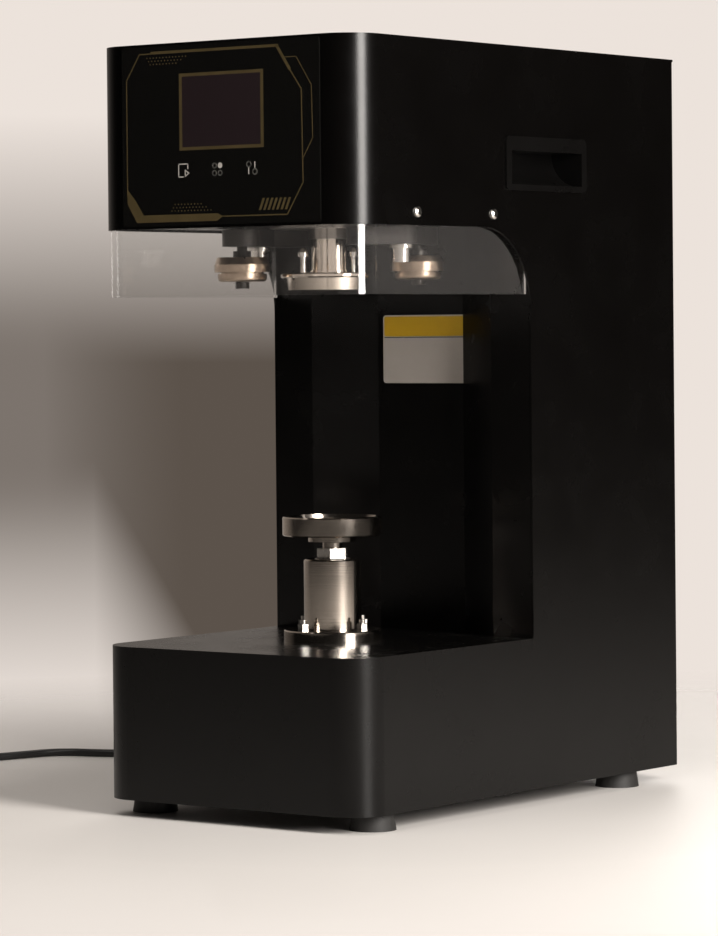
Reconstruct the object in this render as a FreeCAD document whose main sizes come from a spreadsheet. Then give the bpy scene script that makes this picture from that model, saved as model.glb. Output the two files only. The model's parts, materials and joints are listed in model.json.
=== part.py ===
"""Bench can seamer: a parametric FreeCAD model of every piece, in millimetres.

The frame has X to the right, Y to the back and Z up.  Its origin is on the ground, under the
middle of the cabinet.  The seaming axis is upright, in front of the column: the head turns
round a fixed chuck on it, and the can tray lifts the can along it.
"""
import FreeCAD, Part
import math
import os
import re
import Sketcher

SIZES = {
    # cabinet
    "cabinet_width": 272, "cabinet_depth": 465, "cabinet_height": 620,
    "base_height": 126.3, "throat_height": 342.9, "throat_depth": 242, "throat_corner": 67,
    "corner_radius": 31.4, "wall": 2, "top_thickness": 2, "deck_thickness": 2, "fit": 0.3,
    "lip_width": 14, "rear_thickness": 1.5, "rear_margin": 1, "deck_tongue": 34,
    "recess_edge": 95, "recess_floor": 45, "recess_depth": 29.5, "column_top_gap": 0.3,
    # feet
    "foot_height": 14, "foot_radius": 19, "foot_taper": 2, "foot_x": 113, "foot_front": 46,
    "foot_rear": 402, "foot_recess_radius": 6, "foot_recess_depth": 5,
    "foot_screw_radius": 2.5, "foot_screw_head": 4.5, "foot_screw_head_height": 3,
    "screw_play": 0.1, "floor_plate": 6,
    # structure
    "head_plate_level": 500, "head_plate_thickness": 10, "head_plate_front": 40,
    "head_plate_shoulder": 196, "head_plate_half": 100, "head_plate_rear": 455,
    "post_side": 30, "post_wall": 2, "post_x": 82, "post_front": 296, "post_rear": 440,
    "stiffener_half": 110, "stiffener_front": 60, "stiffener_rear": 228,
    "stiffener_thickness": 8, "pillar_radius": 8, "pillar_inset": 15,
    "underplate_gap": 2, "underplate_thickness": 1.5, "underplate_hole": 93,
    "standoff_radius": 5, "standoff_front_x": 112, "standoff_front": 60,
    "standoff_rear_x": 92, "standoff_rear": 215,
    # seaming head
    "axis_depth": 144, "turret_angle": 36.87,
    "shaft_radius": 14, "running_play": 0.05, "chuck_bottom": 419, "chuck_boss_radius": 35,
    "chuck_boss_height": 10, "chuck_plate_radius": 40, "chuck_plate_height": 4,
    "chuck_boss_taper": 1.5, "collar_radius": 15, "collar_height": 2.6,
    "chuck_screw_radius": 4, "chuck_screw_head": 7, "chuck_screw_head_height": 6,
    "chuck_screw_grip": 23, "stud_offset": 21, "stud_radius": 2.5, "stud_head": 4.5,
    "stud_height": 21,
    "arm_bottom": 455.8, "arm_thickness": 14, "turret_bottom": 481, "turret_radius": 90,
    "turret_thickness": 10, "hub_radius": 30, "hub_collar_radius": 35, "turret_seat": 502.7, "sleeve_radius": 20,
    "sleeve_foot_radius": 16, "sleeve_foot": 461.4, "cam_bottom": 470, "cam_thickness": 9,
    "cam_radius": 48.8, "cam_lobe": 6.2, "cam_lobe_angle": 26, "cam_lobe_spread": 42,
    "pivot_out": 58, "pivot_side": 42, "roller_out": 72, "lever_out": 26, "lever_side": 52,
    "arm_roller_end": 16.5, "arm_pivot_end": 15, "arm_lever_end": 12, "arm_boss_radius": 13,
    "pivot_radius": 7, "pivot_bottom": 441, "pivot_flange_radius": 10,
    "pivot_flange_height": 2.7, "pivot_thread_radius": 5,
    "follower_radius": 9, "follower_pin": 4, "follower_height": 8, "follower_seat": 0.7,
    "roller_top": 446.7, "roller_collar_height": 5.1, "roller_collar_radius": 7.5,
    "roller_pin_radius": 4.3, "roller_end_radius": 5.8, "roller_gap": 0.15,
    "first_roller_radius": 23.25, "first_disc_radius": 20.5, "first_cone_radius": 21.2,
    "first_band_top": 440.6, "first_groove_top": 434.3, "first_disc_bottom": 426.4,
    "first_pin_bottom": 420.6,
    "second_roller_radius": 22, "second_disc_radius": 19.5, "second_cone_radius": 20.2,
    "second_band_top": 441.6, "second_groove_top": 434, "second_disc_bottom": 427.3,
    "second_pin_bottom": 422.8,
    "groove_depth": 2.4, "groove_height": 1.2, "disc_round": 3,
    # bearings, drive
    "bearing_outer": 45, "bearing_height": 18, "bearing_gap": 3.6, "bearing_lip": 36,
    "bearing_lip_height": 3, "spigot_radius": 50, "block_flange_radius": 70,
    "block_flange_height": 8, "block_radius": 55, "block_top": 545,
    "pulley_height": 16, "pulley_flange": 1.5, "pulley_rim": 3, "turret_pulley_radius": 48,
    "turret_pulley_bottom": 546, "cam_pulley_radius": 47.2, "cam_pulley_bottom": 568,
    "motor_pulley_radius": 24, "belt_thickness": 2, "belt_play": 0.35, "belt_side_play": 0.4,
    "motor_depth": 350, "motor_shaft_radius": 7, "motor_flange_half": 45,
    "motor_flange_height": 10, "motor_radius": 43, "motor_length": 120, "motor_cap_radius": 30,
    "motor_cap_height": 8, "motor_shaft_grip": 30, "motor_hole": 16,
    "bridge_half": 94, "bridge_leg": 20, "bridge_depth": 40, "bridge_bottom": 590,
    "bridge_thickness": 16,
    # lift
    "housing_radius": 24, "housing_top": 194.4, "housing_chamfer": 1.2,
    "housing_flange_radius": 41, "housing_flange_height": 9.3, "housing_spigot_radius": 18,
    "housing_spigot_depth": 14, "plunger_radius": 15, "plunger_top": 195,
    "plunger_bottom": 74, "clevis_half": 6.5, "clevis_top": 95, "stem_radius": 8,
    "stem_bottom": 120, "stem_bore_bottom": 118, "nut_flats": 24, "nut_height": 8.4,
    "stem_shoulder": 208.7, "stem_spigot_radius": 6, "stem_top": 221.7,
    "tray_radius": 41.5, "tray_bottom": 214, "tray_height": 16, "tray_rim": 4.5,
    "tray_recess": 3, "tray_edge": 1, "tray_hub_radius": 20, "tray_hub_height": 5,
    "tray_bore_top": 223,
    "lift_bolt_circle": 34.5, "lift_bolt_angle": -8, "lift_nut_flats": 8.6,
    "lift_nut_height": 6.2, "lift_stud_radius": 2.5, "lift_stud_tip": 3.4,
    "lift_cam_height": 54, "lift_cam_start": 28, "lift_stroke": 25, "lift_cam_turn": 240,
    "lift_follower_radius": 11, "lift_follower_width": 12, "lift_follower_pin": 3,
    "lift_cam_play": 0.3, "lift_cam_width": 12, "lift_hub_radius": 12, "lift_hub_width": 8,
    "lift_shaft_radius": 6, "lift_shaft_grip": 14, "gearbox_front": 168, "gearbox_half": 30,
    "gearbox_depth": 40, "lift_motor_radius": 21, "lift_motor_length": 60,
    "saddle_half": 45, "saddle_plate": 4, "saddle_length": 60,
    # guard
    "guard_thickness": 4, "guard_drop": 55.2, "guard_overlap": 17, "guard_rear": 238,
    "guard_screw_level": 479.7, "guard_screw_front": 82, "guard_screw_rear": 188.4,
    "guard_screw_radius": 2, "guard_screw_head": 4.5, "guard_screw_head_height": 2.6,
    "guard_nut_radius": 3.5, "guard_nut_height": 3, "guard_hole_radius": 2.2,
    # handles
    "handle_depth": 265, "handle_half": 52, "handle_bottom": 505, "handle_top": 533,
    "handle_flange_half": 59.5, "handle_flange_bottom": 500, "handle_flange_top": 545,
    "handle_flange": 2, "handle_corner": 5, "handle_reach": 29, "handle_lip": 4,
    "handle_scoop": 28.5, "handle_wall": 1.5, "handle_play": 0.4,
    # controls
    "panel_half": 102, "panel_bottom": 471.5, "panel_top": 618, "panel_thickness": 1.2,
    "panel_corner": 3, "screen_middle": 2.5, "screen_level": 563.8, "screen_half_width": 42,
    "screen_half_height": 30, "screen_play": 0.5, "screen_gap": 0.1, "module_half_width": 48,
    "module_half_height": 35, "module_depth": 8, "board_half_width": 70,
    "board_half_height": 40, "board_offset": 12, "board_thickness": 1.6, "board_post": 3,
    "board_post_inset": 6, "relay_side": 18, "relay_height": 15,
    # rear
    "louvre_half": 24, "louvre_height": 4, "louvre_pitch": 10, "louvre_x": 60,
    "louvre_level": 330, "louvre_rows": 9, "louvre_round": 1.98, "rear_screw_x": 129, "rear_screw_low": 30, "rear_screw_pitch": 185,
    "rear_screw_radius": 2, "rear_screw_head": 4, "rear_screw_head_height": 1.8,
    "rear_screw_length": 8, "switch_x": 0, "switch_level": 60, "switch_half_width": 10.5,
    "switch_half_height": 13.5, "switch_bezel": 2, "switch_body_half_width": 8.5,
    "switch_body_half_height": 11.5, "switch_body_depth": 20, "rocker_half_width": 6,
    "rocker_radius": 8.6, "rocker_edge": 5.5, "rocker_middle": 4, "rocker_pivot_depth": 2,
    "rocker_tilt": 10, "rocker_play": 0.5, "rocker_slot_half": 9.6,
    "supply_half": 65, "supply_front": 325, "supply_depth": 98, "supply_height": 40,
    "supply_lip": 12, "supply_step": 14,
    "gland_x": -90, "gland_level": 42, "gland_radius": 8, "gland_flange_radius": 11,
    "gland_flange": 3, "gland_inside": 5, "gland_taper_length": 24, "gland_tip_radius": 5,
    # cord, coil and plug; their places are in the model's frame
    "cord_radius": 3.5, "coil_x": -540, "coil_y": -18, "coil_radius": 38,
    "coil_half_width": 7.2, "coil_height": 21, "coil_round": 3, "tie_angle": 22,
    "tie_thickness": 1.2, "tie_play": 0.1, "plug_x": -566, "plug_y": -59.6,
    "plug_tail": 22, "plug_tail_radius": 4, "plug_length": 36, "plug_half_width": 15,
    "plug_height": 18, "plug_corner": 4, "pin_length": 18, "pin_half_width": 3,
    "pin_half_thickness": 0.8, "pin_spacing": 6.5,
}

# Every body stands in the cabinet's own frame: y runs back from the front face and z up from
# the cabinet's underside.  FRONT and FLOOR carry that frame to the model's origin.
FRONT = "(-cabinet_depth / 2)"
FLOOR = "foot_height"
SIDE = "(cabinet_width / 2)"
DECK = "base_height"
HEAD = "(base_height + throat_height)"
BACK = "(cabinet_depth - rear_thickness)"
INSIDE = "(cabinet_width / 2 - wall - fit)"
PLATE_TOP = "(head_plate_level + head_plate_thickness)"

doc = FreeCAD.newDocument("can_seamer")
sheet = doc.addObject("Spreadsheet::Sheet", "Sizes")
for row, (name, size) in enumerate(SIZES.items(), 1):
    sheet.set(f"A{row}", name)
    sheet.set(f"B{row}", str(size))
    sheet.setAlias(f"B{row}", name)
doc.recompute()
nodes = []


# ---- helpers -----------------------------------------------------------------------------
def bound(text):
    """The expression text with every size name pointed at the sheet."""
    return re.sub(r"[a-z][a-z_]+", lambda m: "Sizes." + m[0] if m[0] in SIZES else m[0], text)


def number(text):
    """The present value of an expression text."""
    return float(sheet.evalExpression(bound(text)))


def place(thing, x="0", y=FRONT, z=FLOOR, turn="0"):
    """Bind a thing's place, and its turn about the upright axis."""
    vector = f"create(<<vector>>; {bound(x)}; {bound(y)}; {bound(z)})"
    about = f"create(<<rotation>>; create(<<vector>>; 0; 0; 1); {bound(turn)})"
    thing.setExpression("Placement", f"create(<<placement>>; {vector}; {about})")
    return thing


def keep(thing, label):
    """Name a finished piece and list it as a node."""
    thing.Label = label
    nodes.append(thing)
    return thing


def refresh(*things):
    """Work out just these things, in order."""
    for thing in things:
        thing.recompute()
    return things[-1]


def new_body(name, node=True, **where):
    """An empty body in the cabinet's frame, or at the place given."""
    body = doc.addObject("PartDesign::Body", name)
    place(body, **where)
    return keep(body, name) if node else body


def new_sketch(body, plane="XY_Plane", level="0"):
    """A sketch on one of the body's own planes, moved along that plane's axis to a level."""
    sketch = body.newObject("Sketcher::SketchObject", f"{body.Name}_sketch")
    origin = {feature.Role: feature for feature in body.Origin.OriginFeatures}
    sketch.AttachmentSupport = (origin[plane], [""])
    sketch.MapMode = "FlatFace"
    sign = "-" if plane == "XZ_Plane" else ""
    sketch.setExpression("AttachmentOffset.Base.z", f"{sign}({bound(level)})")
    return sketch


def hold(sketch, kind, *where):
    """Add a constraint whose value, the last item, is an expression text."""
    index = sketch.addConstraint(Sketcher.Constraint(kind, *where[:-1], number(where[-1])))
    sketch.setExpression(f"Constraints[{index}]", bound(where[-1]))


def circle(sketch, x, y, radius):
    """A circle held by its centre and radius."""
    middle = FreeCAD.Vector(number(x), number(y), 0)
    shape = Part.Circle(middle, FreeCAD.Vector(0, 0, 1), number(radius))
    curve = sketch.addGeometry(shape, False)
    hold(sketch, "DistanceX", -1, 1, curve, 3, x)
    hold(sketch, "DistanceY", -1, 1, curve, 3, y)
    hold(sketch, "Radius", curve, radius)


def arc_between(start, end, radius):
    """The short counterclockwise arc from start to end."""
    along = (end - start).normalize()
    left = FreeCAD.Vector(-along.y, along.x, 0)
    rise = math.sqrt(max(radius ** 2 - (end - start).Length ** 2 / 4, 0))
    return Part.Arc(start, (start + end) / 2 + left * (rise - radius), end)


def outline(sketch, corners):
    """A closed outline through corners held by their coordinates.

    A corner is a pair of expression texts.  A third text is the radius of an arc that runs
    from it to the next corner, with a minus sign where its centre lies on the right.
    """
    spots = [FreeCAD.Vector(number(corner[0]), number(corner[1]), 0) for corner in corners]
    ends = spots[1:] + spots[:1]
    curves = []
    for corner, start, end in zip(corners, spots, ends):
        turn = number(corner[2]) if len(corner) == 3 else 0
        if turn < 0:
            shape = arc_between(end, start, -turn)
        elif turn > 0:
            shape = arc_between(start, end, turn)
        else:
            shape = Part.LineSegment(start, end)
        curves.append((sketch.addGeometry(shape, False), 2 if turn < 0 else 1))
    following = curves[1:] + curves[:1]
    for corner, (curve, near), (other, other_near) in zip(corners, curves, following):
        sketch.addConstraint(Sketcher.Constraint("Coincident", curve, 3 - near, other, other_near))
        hold(sketch, "DistanceX", -1, 1, curve, near, corner[0])
        hold(sketch, "DistanceY", -1, 1, curve, near, corner[1])
        if len(corner) == 3:
            hold(sketch, "Radius", curve, corner[2].lstrip("-"))
    return sketch


def rectangle(sketch, left, bottom, right, top):
    """An upright rectangle."""
    return outline(sketch, [(left, bottom), (right, bottom), (right, top), (left, top)])


def rounded(sketch, left, bottom, right, top, radius):
    """An upright rectangle with round corners."""
    return outline(sketch, [
        (f"{left} + {radius}", bottom), (f"{right} - {radius}", bottom, radius),
        (right, f"{bottom} + {radius}"), (right, f"{top} - {radius}", radius),
        (f"{right} - {radius}", top), (f"{left} + {radius}", top, radius),
        (left, f"{top} - {radius}"), (left, f"{bottom} + {radius}", radius)])


def link(sketch, start, end):
    """The outline round two circles, each an (x, y, radius), and their outer tangents."""
    (ax, ay, ar), (bx, by, br) = [[number(text) for text in spot] for spot in (start, end)]
    bearing = math.atan2(by - ay, bx - ax)
    lean = math.acos((ar - br) / math.hypot(bx - ax, by - ay))
    up = FreeCAD.Vector(0, 0, 1)
    arcs = []
    for spot, begin, stop in ((start, bearing + lean, bearing - lean + 2 * math.pi),
                              (end, bearing - lean, bearing + lean)):
        ring = Part.Circle(FreeCAD.Vector(number(spot[0]), number(spot[1]), 0), up, number(spot[2]))
        curve = sketch.addGeometry(Part.ArcOfCircle(ring, begin, stop), False)
        hold(sketch, "DistanceX", -1, 1, curve, 3, spot[0])
        hold(sketch, "DistanceY", -1, 1, curve, 3, spot[1])
        hold(sketch, "Radius", curve, spot[2])
        arcs.append(curve)
    for first, second in (arcs, arcs[::-1]):
        leave = sketch.Geometry[first].EndPoint
        reach = sketch.Geometry[second].StartPoint
        line = sketch.addGeometry(Part.LineSegment(leave, reach), False)
        sketch.addConstraint(Sketcher.Constraint("Tangent", first, 2, line, 1))
        sketch.addConstraint(Sketcher.Constraint("Tangent", line, 2, second, 1))
    return sketch


def pad(sketch, length):
    """Raise a sketch along its plane's normal: up, to the right, or to the front."""
    body = sketch.getParentGeoFeatureGroup()
    feature = body.newObject("PartDesign::Pad", f"{body.Name}_pad")
    feature.Profile = sketch
    feature.setExpression("Length", bound(length))
    refresh(sketch, feature, body)
    return feature


def pocket(sketch, length, onward=False):
    """Cut a sketch against its plane's normal, or onward along it, and see that it cuts."""
    body = sketch.getParentGeoFeatureGroup()
    before = body.Shape.Volume
    feature = body.newObject("PartDesign::Pocket", f"{body.Name}_pocket")
    feature.Profile = sketch
    feature.Reversed = onward
    feature.setExpression("Length", bound(length))
    refresh(sketch, feature, body)
    if body.Shape.Volume >= before:
        raise ValueError(f"{body.Name}: a pocket cuts nothing")
    return feature


def disc(body, x, y, radius, bottom, height):
    """Add an upright round boss or pin to a body."""
    sketch = new_sketch(body, level=bottom)
    circle(sketch, x, y, radius)
    return pad(sketch, height)


def bore(body, x, y, radius, top, depth):
    """Cut an upright round hole down from a level."""
    sketch = new_sketch(body, level=top)
    circle(sketch, x, y, radius)
    return pocket(sketch, depth)


def turned(name, profile, node=True, **where):
    """A body turned from a half profile of (radius, height) corners."""
    body = new_body(name, node, **where)
    sketch = outline(new_sketch(body, "XZ_Plane"), profile)
    feature = body.newObject("PartDesign::Revolution", f"{name}_revolution")
    feature.Profile = sketch
    feature.ReferenceAxis = (sketch, ["V_Axis"])
    feature.Angle = 360
    return refresh(sketch, feature, body)


def hexagon(sketch, flats):
    """A hexagon of a given width across its flats, with its corners at the sides."""
    corner = f"({flats}) / sqrt(3)"
    outline(sketch, [(corner, "0"), (f"{corner} / 2", f"({flats}) / 2"),
                     (f"-({corner}) / 2", f"({flats}) / 2"), (f"-({corner})", "0"),
                     (f"-({corner}) / 2", f"-({flats}) / 2"),
                     (f"{corner} / 2", f"-({flats}) / 2")])
    return sketch


def copies(label, template, places):
    """A node of equal pieces: one template set at several places."""
    pieces = []
    for index, where in enumerate(places, 1):
        piece = doc.addObject("App::Link", f"{label}_{index}")
        piece.LinkedObject = template
        pieces.append(place(piece, **where))
    group = doc.addObject("Part::Compound", f"{label}_set")
    group.Links = pieces
    return keep(refresh(template, *pieces, group), label)


def mirrored(label, source):
    """The left-hand twin of a right-hand piece."""
    twin = doc.addObject("Part::Mirroring", f"{label}_twin")
    twin.Source = source
    twin.Normal = FreeCAD.Vector(1, 0, 0)
    return keep(refresh(source, twin), label)


def drawn(label, shape, **where):
    """A node whose shape comes from a formula, set in the cabinet's frame."""
    thing = doc.addObject("Part::Feature", f"{label}_form")
    thing.Shape = shape
    place(thing, **where)
    return keep(refresh(thing), label)


# ---- cabinet -----------------------------------------------------------------------------
def plan(inset, rear, radius="corner_radius"):
    """Corners of the cabinet's plan: square at the back, round at the front."""
    side = f"({SIDE} - ({inset}))"
    bend = f"({radius} - ({inset}))"
    return [(f"-{side}", rear), (f"-{side}", radius, bend), (f"-{side} + {bend}", inset),
            (f"{side} - {bend}", inset, bend), (side, radius), (side, rear)]


def backwards(corners):
    """The same run of corners taken the other way, arcs and all."""
    path = [corner[:2] for corner in corners[::-1]]
    for index, corner in enumerate(corners):
        if len(corner) == 3:
            spot = len(corners) - 2 - index
            path[spot] = (*path[spot], f"-{corner[2]}")
    return path


def cabinet_shell():
    """One folded sheet round the front and sides, with the throat cut out of it."""
    body = new_body("cabinet_shell")
    edge = f"({SIDE} - lip_width)"
    corners = plan("0", BACK) + [(edge, BACK), (edge, f"{BACK} - wall")]
    corners += backwards(plan("wall", f"({BACK} - wall)"))
    corners += [(f"-{edge}", f"{BACK} - wall"), (f"-{edge}", BACK)]
    pad(outline(new_sketch(body), corners), "cabinet_height - top_thickness")
    throat = new_sketch(body, "YZ_Plane", SIDE)
    ledge = f"{DECK} - deck_thickness"
    outline(throat, [("-wall", ledge), ("throat_depth", ledge),
                     ("throat_depth", f"{HEAD} - throat_corner", "throat_corner"),
                     ("throat_depth - throat_corner", HEAD), ("-wall", HEAD)])
    pocket(throat, "cabinet_width")
    cut = new_sketch(body, "YZ_Plane", SIDE)
    play = "(handle_wall + handle_play)"
    rectangle(cut, f"handle_depth - handle_half - {play}", f"handle_bottom - {play}",
              f"handle_depth + handle_half + {play}", f"handle_top + {play}")
    for depth in ("guard_screw_front", "guard_screw_rear"):
        circle(cut, depth, "guard_screw_level", "guard_hole_radius")
    pocket(cut, "cabinet_width")
    window = new_sketch(body, "XZ_Plane")
    rectangle(window, "screen_middle - screen_half_width", "screen_level - screen_half_height",
              "screen_middle + screen_half_width", "screen_level + screen_half_height")
    pocket(window, "2 * wall")
    holes = new_sketch(body, "XZ_Plane", BACK)
    for x, level in rear_screw_places():
        circle(holes, x, level, "rear_screw_radius + screw_play")
    pocket(holes, "wall", onward=True)


def top_plate():
    """The lid that closes the cabinet over its walls."""
    body = new_body("top_plate")
    sketch = new_sketch(body, level="cabinet_height - top_thickness")
    pad(outline(sketch, plan("0", "cabinet_depth")), "top_thickness")


def lift_bolt_places():
    """Centres of the four lift studs on the seaming axis, in the cabinet's plan."""
    spots = []
    for quarter in range(4):
        angle = f"(lift_bolt_angle + {90 * quarter})"
        spots.append((f"lift_bolt_circle * cos({angle} * 1deg)",
                      f"axis_depth + lift_bolt_circle * sin({angle} * 1deg)"))
    return spots


def base_deck():
    """The worktop of the base, with a tongue that runs in under the column."""
    body = new_body("base_deck")
    corners = plan("0", "throat_depth")
    tongue = "(throat_depth + deck_tongue)"
    corners += [(INSIDE, "throat_depth"), (INSIDE, tongue),
                (f"-{INSIDE}", tongue), (f"-{INSIDE}", "throat_depth")]
    pad(outline(new_sketch(body, level=f"{DECK} - deck_thickness"), corners), "deck_thickness")
    holes = new_sketch(body, level=DECK)
    circle(holes, "0", "axis_depth", "housing_spigot_radius + fit")
    for x, y in lift_bolt_places():
        circle(holes, x, y, "lift_stud_radius + screw_play")
    pocket(holes, "deck_thickness")


def foot_places():
    """Where the four feet stand."""
    return [(x, y) for x in ("-foot_x", "foot_x") for y in ("foot_front", "foot_rear")]


def bottom_plate():
    """The thick floor plate inside the walls, which carries the whole frame."""
    body = new_body("bottom_plate")
    corners = plan("wall + fit", f"({BACK} - wall - fit)")
    pad(outline(new_sketch(body), corners), "floor_plate")
    holes = new_sketch(body, level="floor_plate")
    for x, y in foot_places():
        circle(holes, x, y, "foot_screw_radius + screw_play")
    pocket(holes, "floor_plate")


def column_cover():
    """The front of the column: a sheet folded back into a shallow tapered channel."""
    body = new_body("column_cover")
    slope = "atan(recess_depth / (recess_edge - recess_floor))"
    shift = f"(wall * tan({slope} / 2))"
    front = [(INSIDE, "throat_depth"), ("recess_edge", "throat_depth"),
             ("recess_floor", "throat_depth + recess_depth"),
             ("-recess_floor", "throat_depth + recess_depth"),
             ("-recess_edge", "throat_depth"), (f"-{INSIDE}", "throat_depth")]
    rear = [(f"-{INSIDE}", "throat_depth + wall"),
            (f"-(recess_edge + {shift})", "throat_depth + wall"),
            (f"-(recess_floor + {shift})", "throat_depth + recess_depth + wall"),
            (f"recess_floor + {shift}", "throat_depth + recess_depth + wall"),
            (f"recess_edge + {shift}", "throat_depth + wall"), (INSIDE, "throat_depth + wall")]
    sketch = outline(new_sketch(body, level=DECK), front + rear)
    pad(sketch, f"head_plate_level - column_top_gap - {DECK}")


def rear_cover():
    """The flat back, with two columns of louvres, the switch hole and the cord hole."""
    body = new_body("rear_cover")
    half = f"({SIDE} - rear_margin)"
    sheet_top = "(cabinet_height - top_thickness)"
    sketch = rectangle(new_sketch(body, "XZ_Plane", "cabinet_depth"),
                       f"-{half}", "0", half, sheet_top)
    pad(sketch, "rear_thickness")
    slots = new_sketch(body, "XZ_Plane", "cabinet_depth")
    for middle in ("-louvre_x", "louvre_x"):
        rounded(slots, f"({middle} - louvre_half)", "louvre_level",
                f"({middle} + louvre_half)", "(louvre_level + louvre_height)", "louvre_round")
    louvres = body.newObject("PartDesign::LinearPattern", "louvres")
    louvres.Originals = [pocket(slots, "rear_thickness", onward=True)]
    louvres.Direction = (slots, ["V_Axis"])
    louvres.setExpression("Length", bound("louvre_pitch * (louvre_rows - 1)"))
    louvres.setExpression("Occurrences", bound("louvre_rows"))
    body.Tip = louvres
    refresh(louvres, body)
    openings = new_sketch(body, "XZ_Plane", "cabinet_depth")
    rectangle(openings, "switch_x - switch_body_half_width - screw_play",
              "switch_level - switch_body_half_height - screw_play",
              "switch_x + switch_body_half_width + screw_play",
              "switch_level + switch_body_half_height + screw_play")
    circle(openings, "gland_x", "gland_level", "gland_radius + screw_play")
    pocket(openings, "rear_thickness", onward=True)
    holes = new_sketch(body, "XZ_Plane", "cabinet_depth")
    for x, level in rear_screw_places():
        circle(holes, x, level, "rear_screw_radius + screw_play")
    pocket(holes, "rear_thickness", onward=True)


def rear_screw_places():
    """Centres of the rear cover's screws: four up each side."""
    return [(x, f"(rear_screw_low + {step} * rear_screw_pitch)")
            for x in ("-rear_screw_x", "rear_screw_x") for step in range(4)]


def level_piece(name, profile, facing):
    """A turned template laid level: its height runs to the left, right, back or front."""
    base = turned(f"{name}_upright", profile, node=False, y="0", z="0")
    sketch_plane = {"left": (0, -90), "right": (0, 90), "back": (1, -90), "front": (1, 90)}
    axis, angle = sketch_plane[facing]
    group = doc.addObject("Part::Compound", f"{name}_{facing}")
    laid = doc.addObject("App::Link", f"{name}_{facing}_laid")
    laid.LinkedObject = base
    turn = FreeCAD.Vector(0, 1, 0) if axis == 0 else FreeCAD.Vector(1, 0, 0)
    laid.Placement = FreeCAD.Placement(FreeCAD.Vector(), FreeCAD.Rotation(turn, angle))
    group.Links = [laid]
    return refresh(laid, group)


def button_screw(shank, head, head_height, length):
    """Half profile of a domed screw: its head stands above zero and its shank hangs below."""
    return [("0", f"-({length})"), (shank, f"-({length})"), (shank, "0"), (head, "0"),
            (f"{head} * 0.92", f"{head_height} * 0.55"), (f"{head} * 0.55", head_height),
            ("0", head_height)]


def rear_cover_screws():
    """Domed screws that hold the rear cover to the cabinet's folded lips."""
    template = level_piece("rear_screw", button_screw(
        "rear_screw_radius", "rear_screw_head", "rear_screw_head_height",
        "rear_screw_length"), "back")
    copies("rear_cover_screws", template, [
        {"x": x, "y": f"{FRONT} + cabinet_depth", "z": f"{FLOOR} + {level}"}
        for x, level in rear_screw_places()])


def rubber_feet():
    """Four tapered rubber feet, each with a recess for its screw."""
    template = turned("foot", [
        ("foot_screw_radius + screw_play", "foot_recess_depth"),
        ("foot_recess_radius", "foot_recess_depth"), ("foot_recess_radius", "0"),
        ("foot_radius", "0"), ("foot_radius - foot_taper", "foot_height"),
        ("foot_screw_radius + screw_play", "foot_height")], node=False, y="0", z="0")
    copies("rubber_feet", template, [{"x": x, "y": f"{FRONT} + {y}", "z": "0"}
                                     for x, y in foot_places()])


def foot_screws():
    """The screw up through each foot into the floor plate."""
    seat = "foot_recess_depth"
    under = f"({seat} - foot_screw_head_height)"
    template = turned("foot_screw", [
        ("0", under), ("foot_screw_head", under), ("foot_screw_head", seat),
        ("foot_screw_radius", seat), ("foot_screw_radius", "foot_height + floor_plate"),
        ("0", "foot_height + floor_plate")], node=False, y="0", z="0")
    copies("foot_screws", template, [{"x": x, "y": f"{FRONT} + {y}", "z": "0"}
                                     for x, y in foot_places()])


# ---- frame inside the cabinet --------------------------------------------------------------
def head_plate():
    """The thick steel plate that carries the seaming head, wide in front and narrow behind."""
    body = new_body("head_plate")
    corners = [(f"-{INSIDE}", "head_plate_front"), (INSIDE, "head_plate_front"),
               (INSIDE, "head_plate_shoulder"), ("head_plate_half", "head_plate_shoulder"),
               ("head_plate_half", "head_plate_rear"), ("-head_plate_half", "head_plate_rear"),
               ("-head_plate_half", "head_plate_shoulder"),
               (f"-{INSIDE}", "head_plate_shoulder")]
    sketch = outline(new_sketch(body, level="head_plate_level"), corners)
    pad(sketch, "head_plate_thickness")
    bore(body, "0", "axis_depth", "spigot_radius + screw_play", PLATE_TOP,
         "head_plate_thickness")
    bore(body, "0", "motor_depth", "motor_hole", PLATE_TOP, "head_plate_thickness")


def column_posts():
    """Four square tubes from the floor plate up to the head plate."""
    template = new_body("post", node=False, y="0", z="0")
    half = "post_side / 2"
    sketch = new_sketch(template)
    rectangle(sketch, f"-({half})", f"-({half})", half, half)
    bare = f"({half} - post_wall)"
    rectangle(sketch, f"-{bare}", f"-{bare}", bare, bare)
    pad(sketch, "head_plate_level - floor_plate")
    copies("column_posts", template, [
        {"x": x, "y": f"{FRONT} + {y}", "z": f"{FLOOR} + floor_plate"}
        for x in ("-post_x", "post_x") for y in ("post_front", "post_rear")])


def deck_stiffener():
    """A thick plate under the deck on four round legs, which takes the lift's thrust."""
    body = new_body("deck_stiffener")
    under = "(base_height - deck_thickness - stiffener_thickness)"
    sketch = rounded(new_sketch(body, level=under), "(-stiffener_half)", "stiffener_front",
                     "stiffener_half", "stiffener_rear", "pillar_inset")
    pad(sketch, "stiffener_thickness")
    legs = new_sketch(body, level="floor_plate")
    for x in ("-(stiffener_half - pillar_inset)", "stiffener_half - pillar_inset"):
        for y in ("stiffener_front + pillar_inset", "stiffener_rear - pillar_inset"):
            circle(legs, x, y, "pillar_radius")
    pad(legs, f"{under} - floor_plate")
    holes = new_sketch(body, level=f"{under} + stiffener_thickness")
    circle(holes, "0", "axis_depth", "housing_spigot_radius + fit")
    for x, y in lift_bolt_places():
        circle(holes, x, y, "lift_stud_radius + screw_play")
    pocket(holes, "stiffener_thickness")


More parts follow.
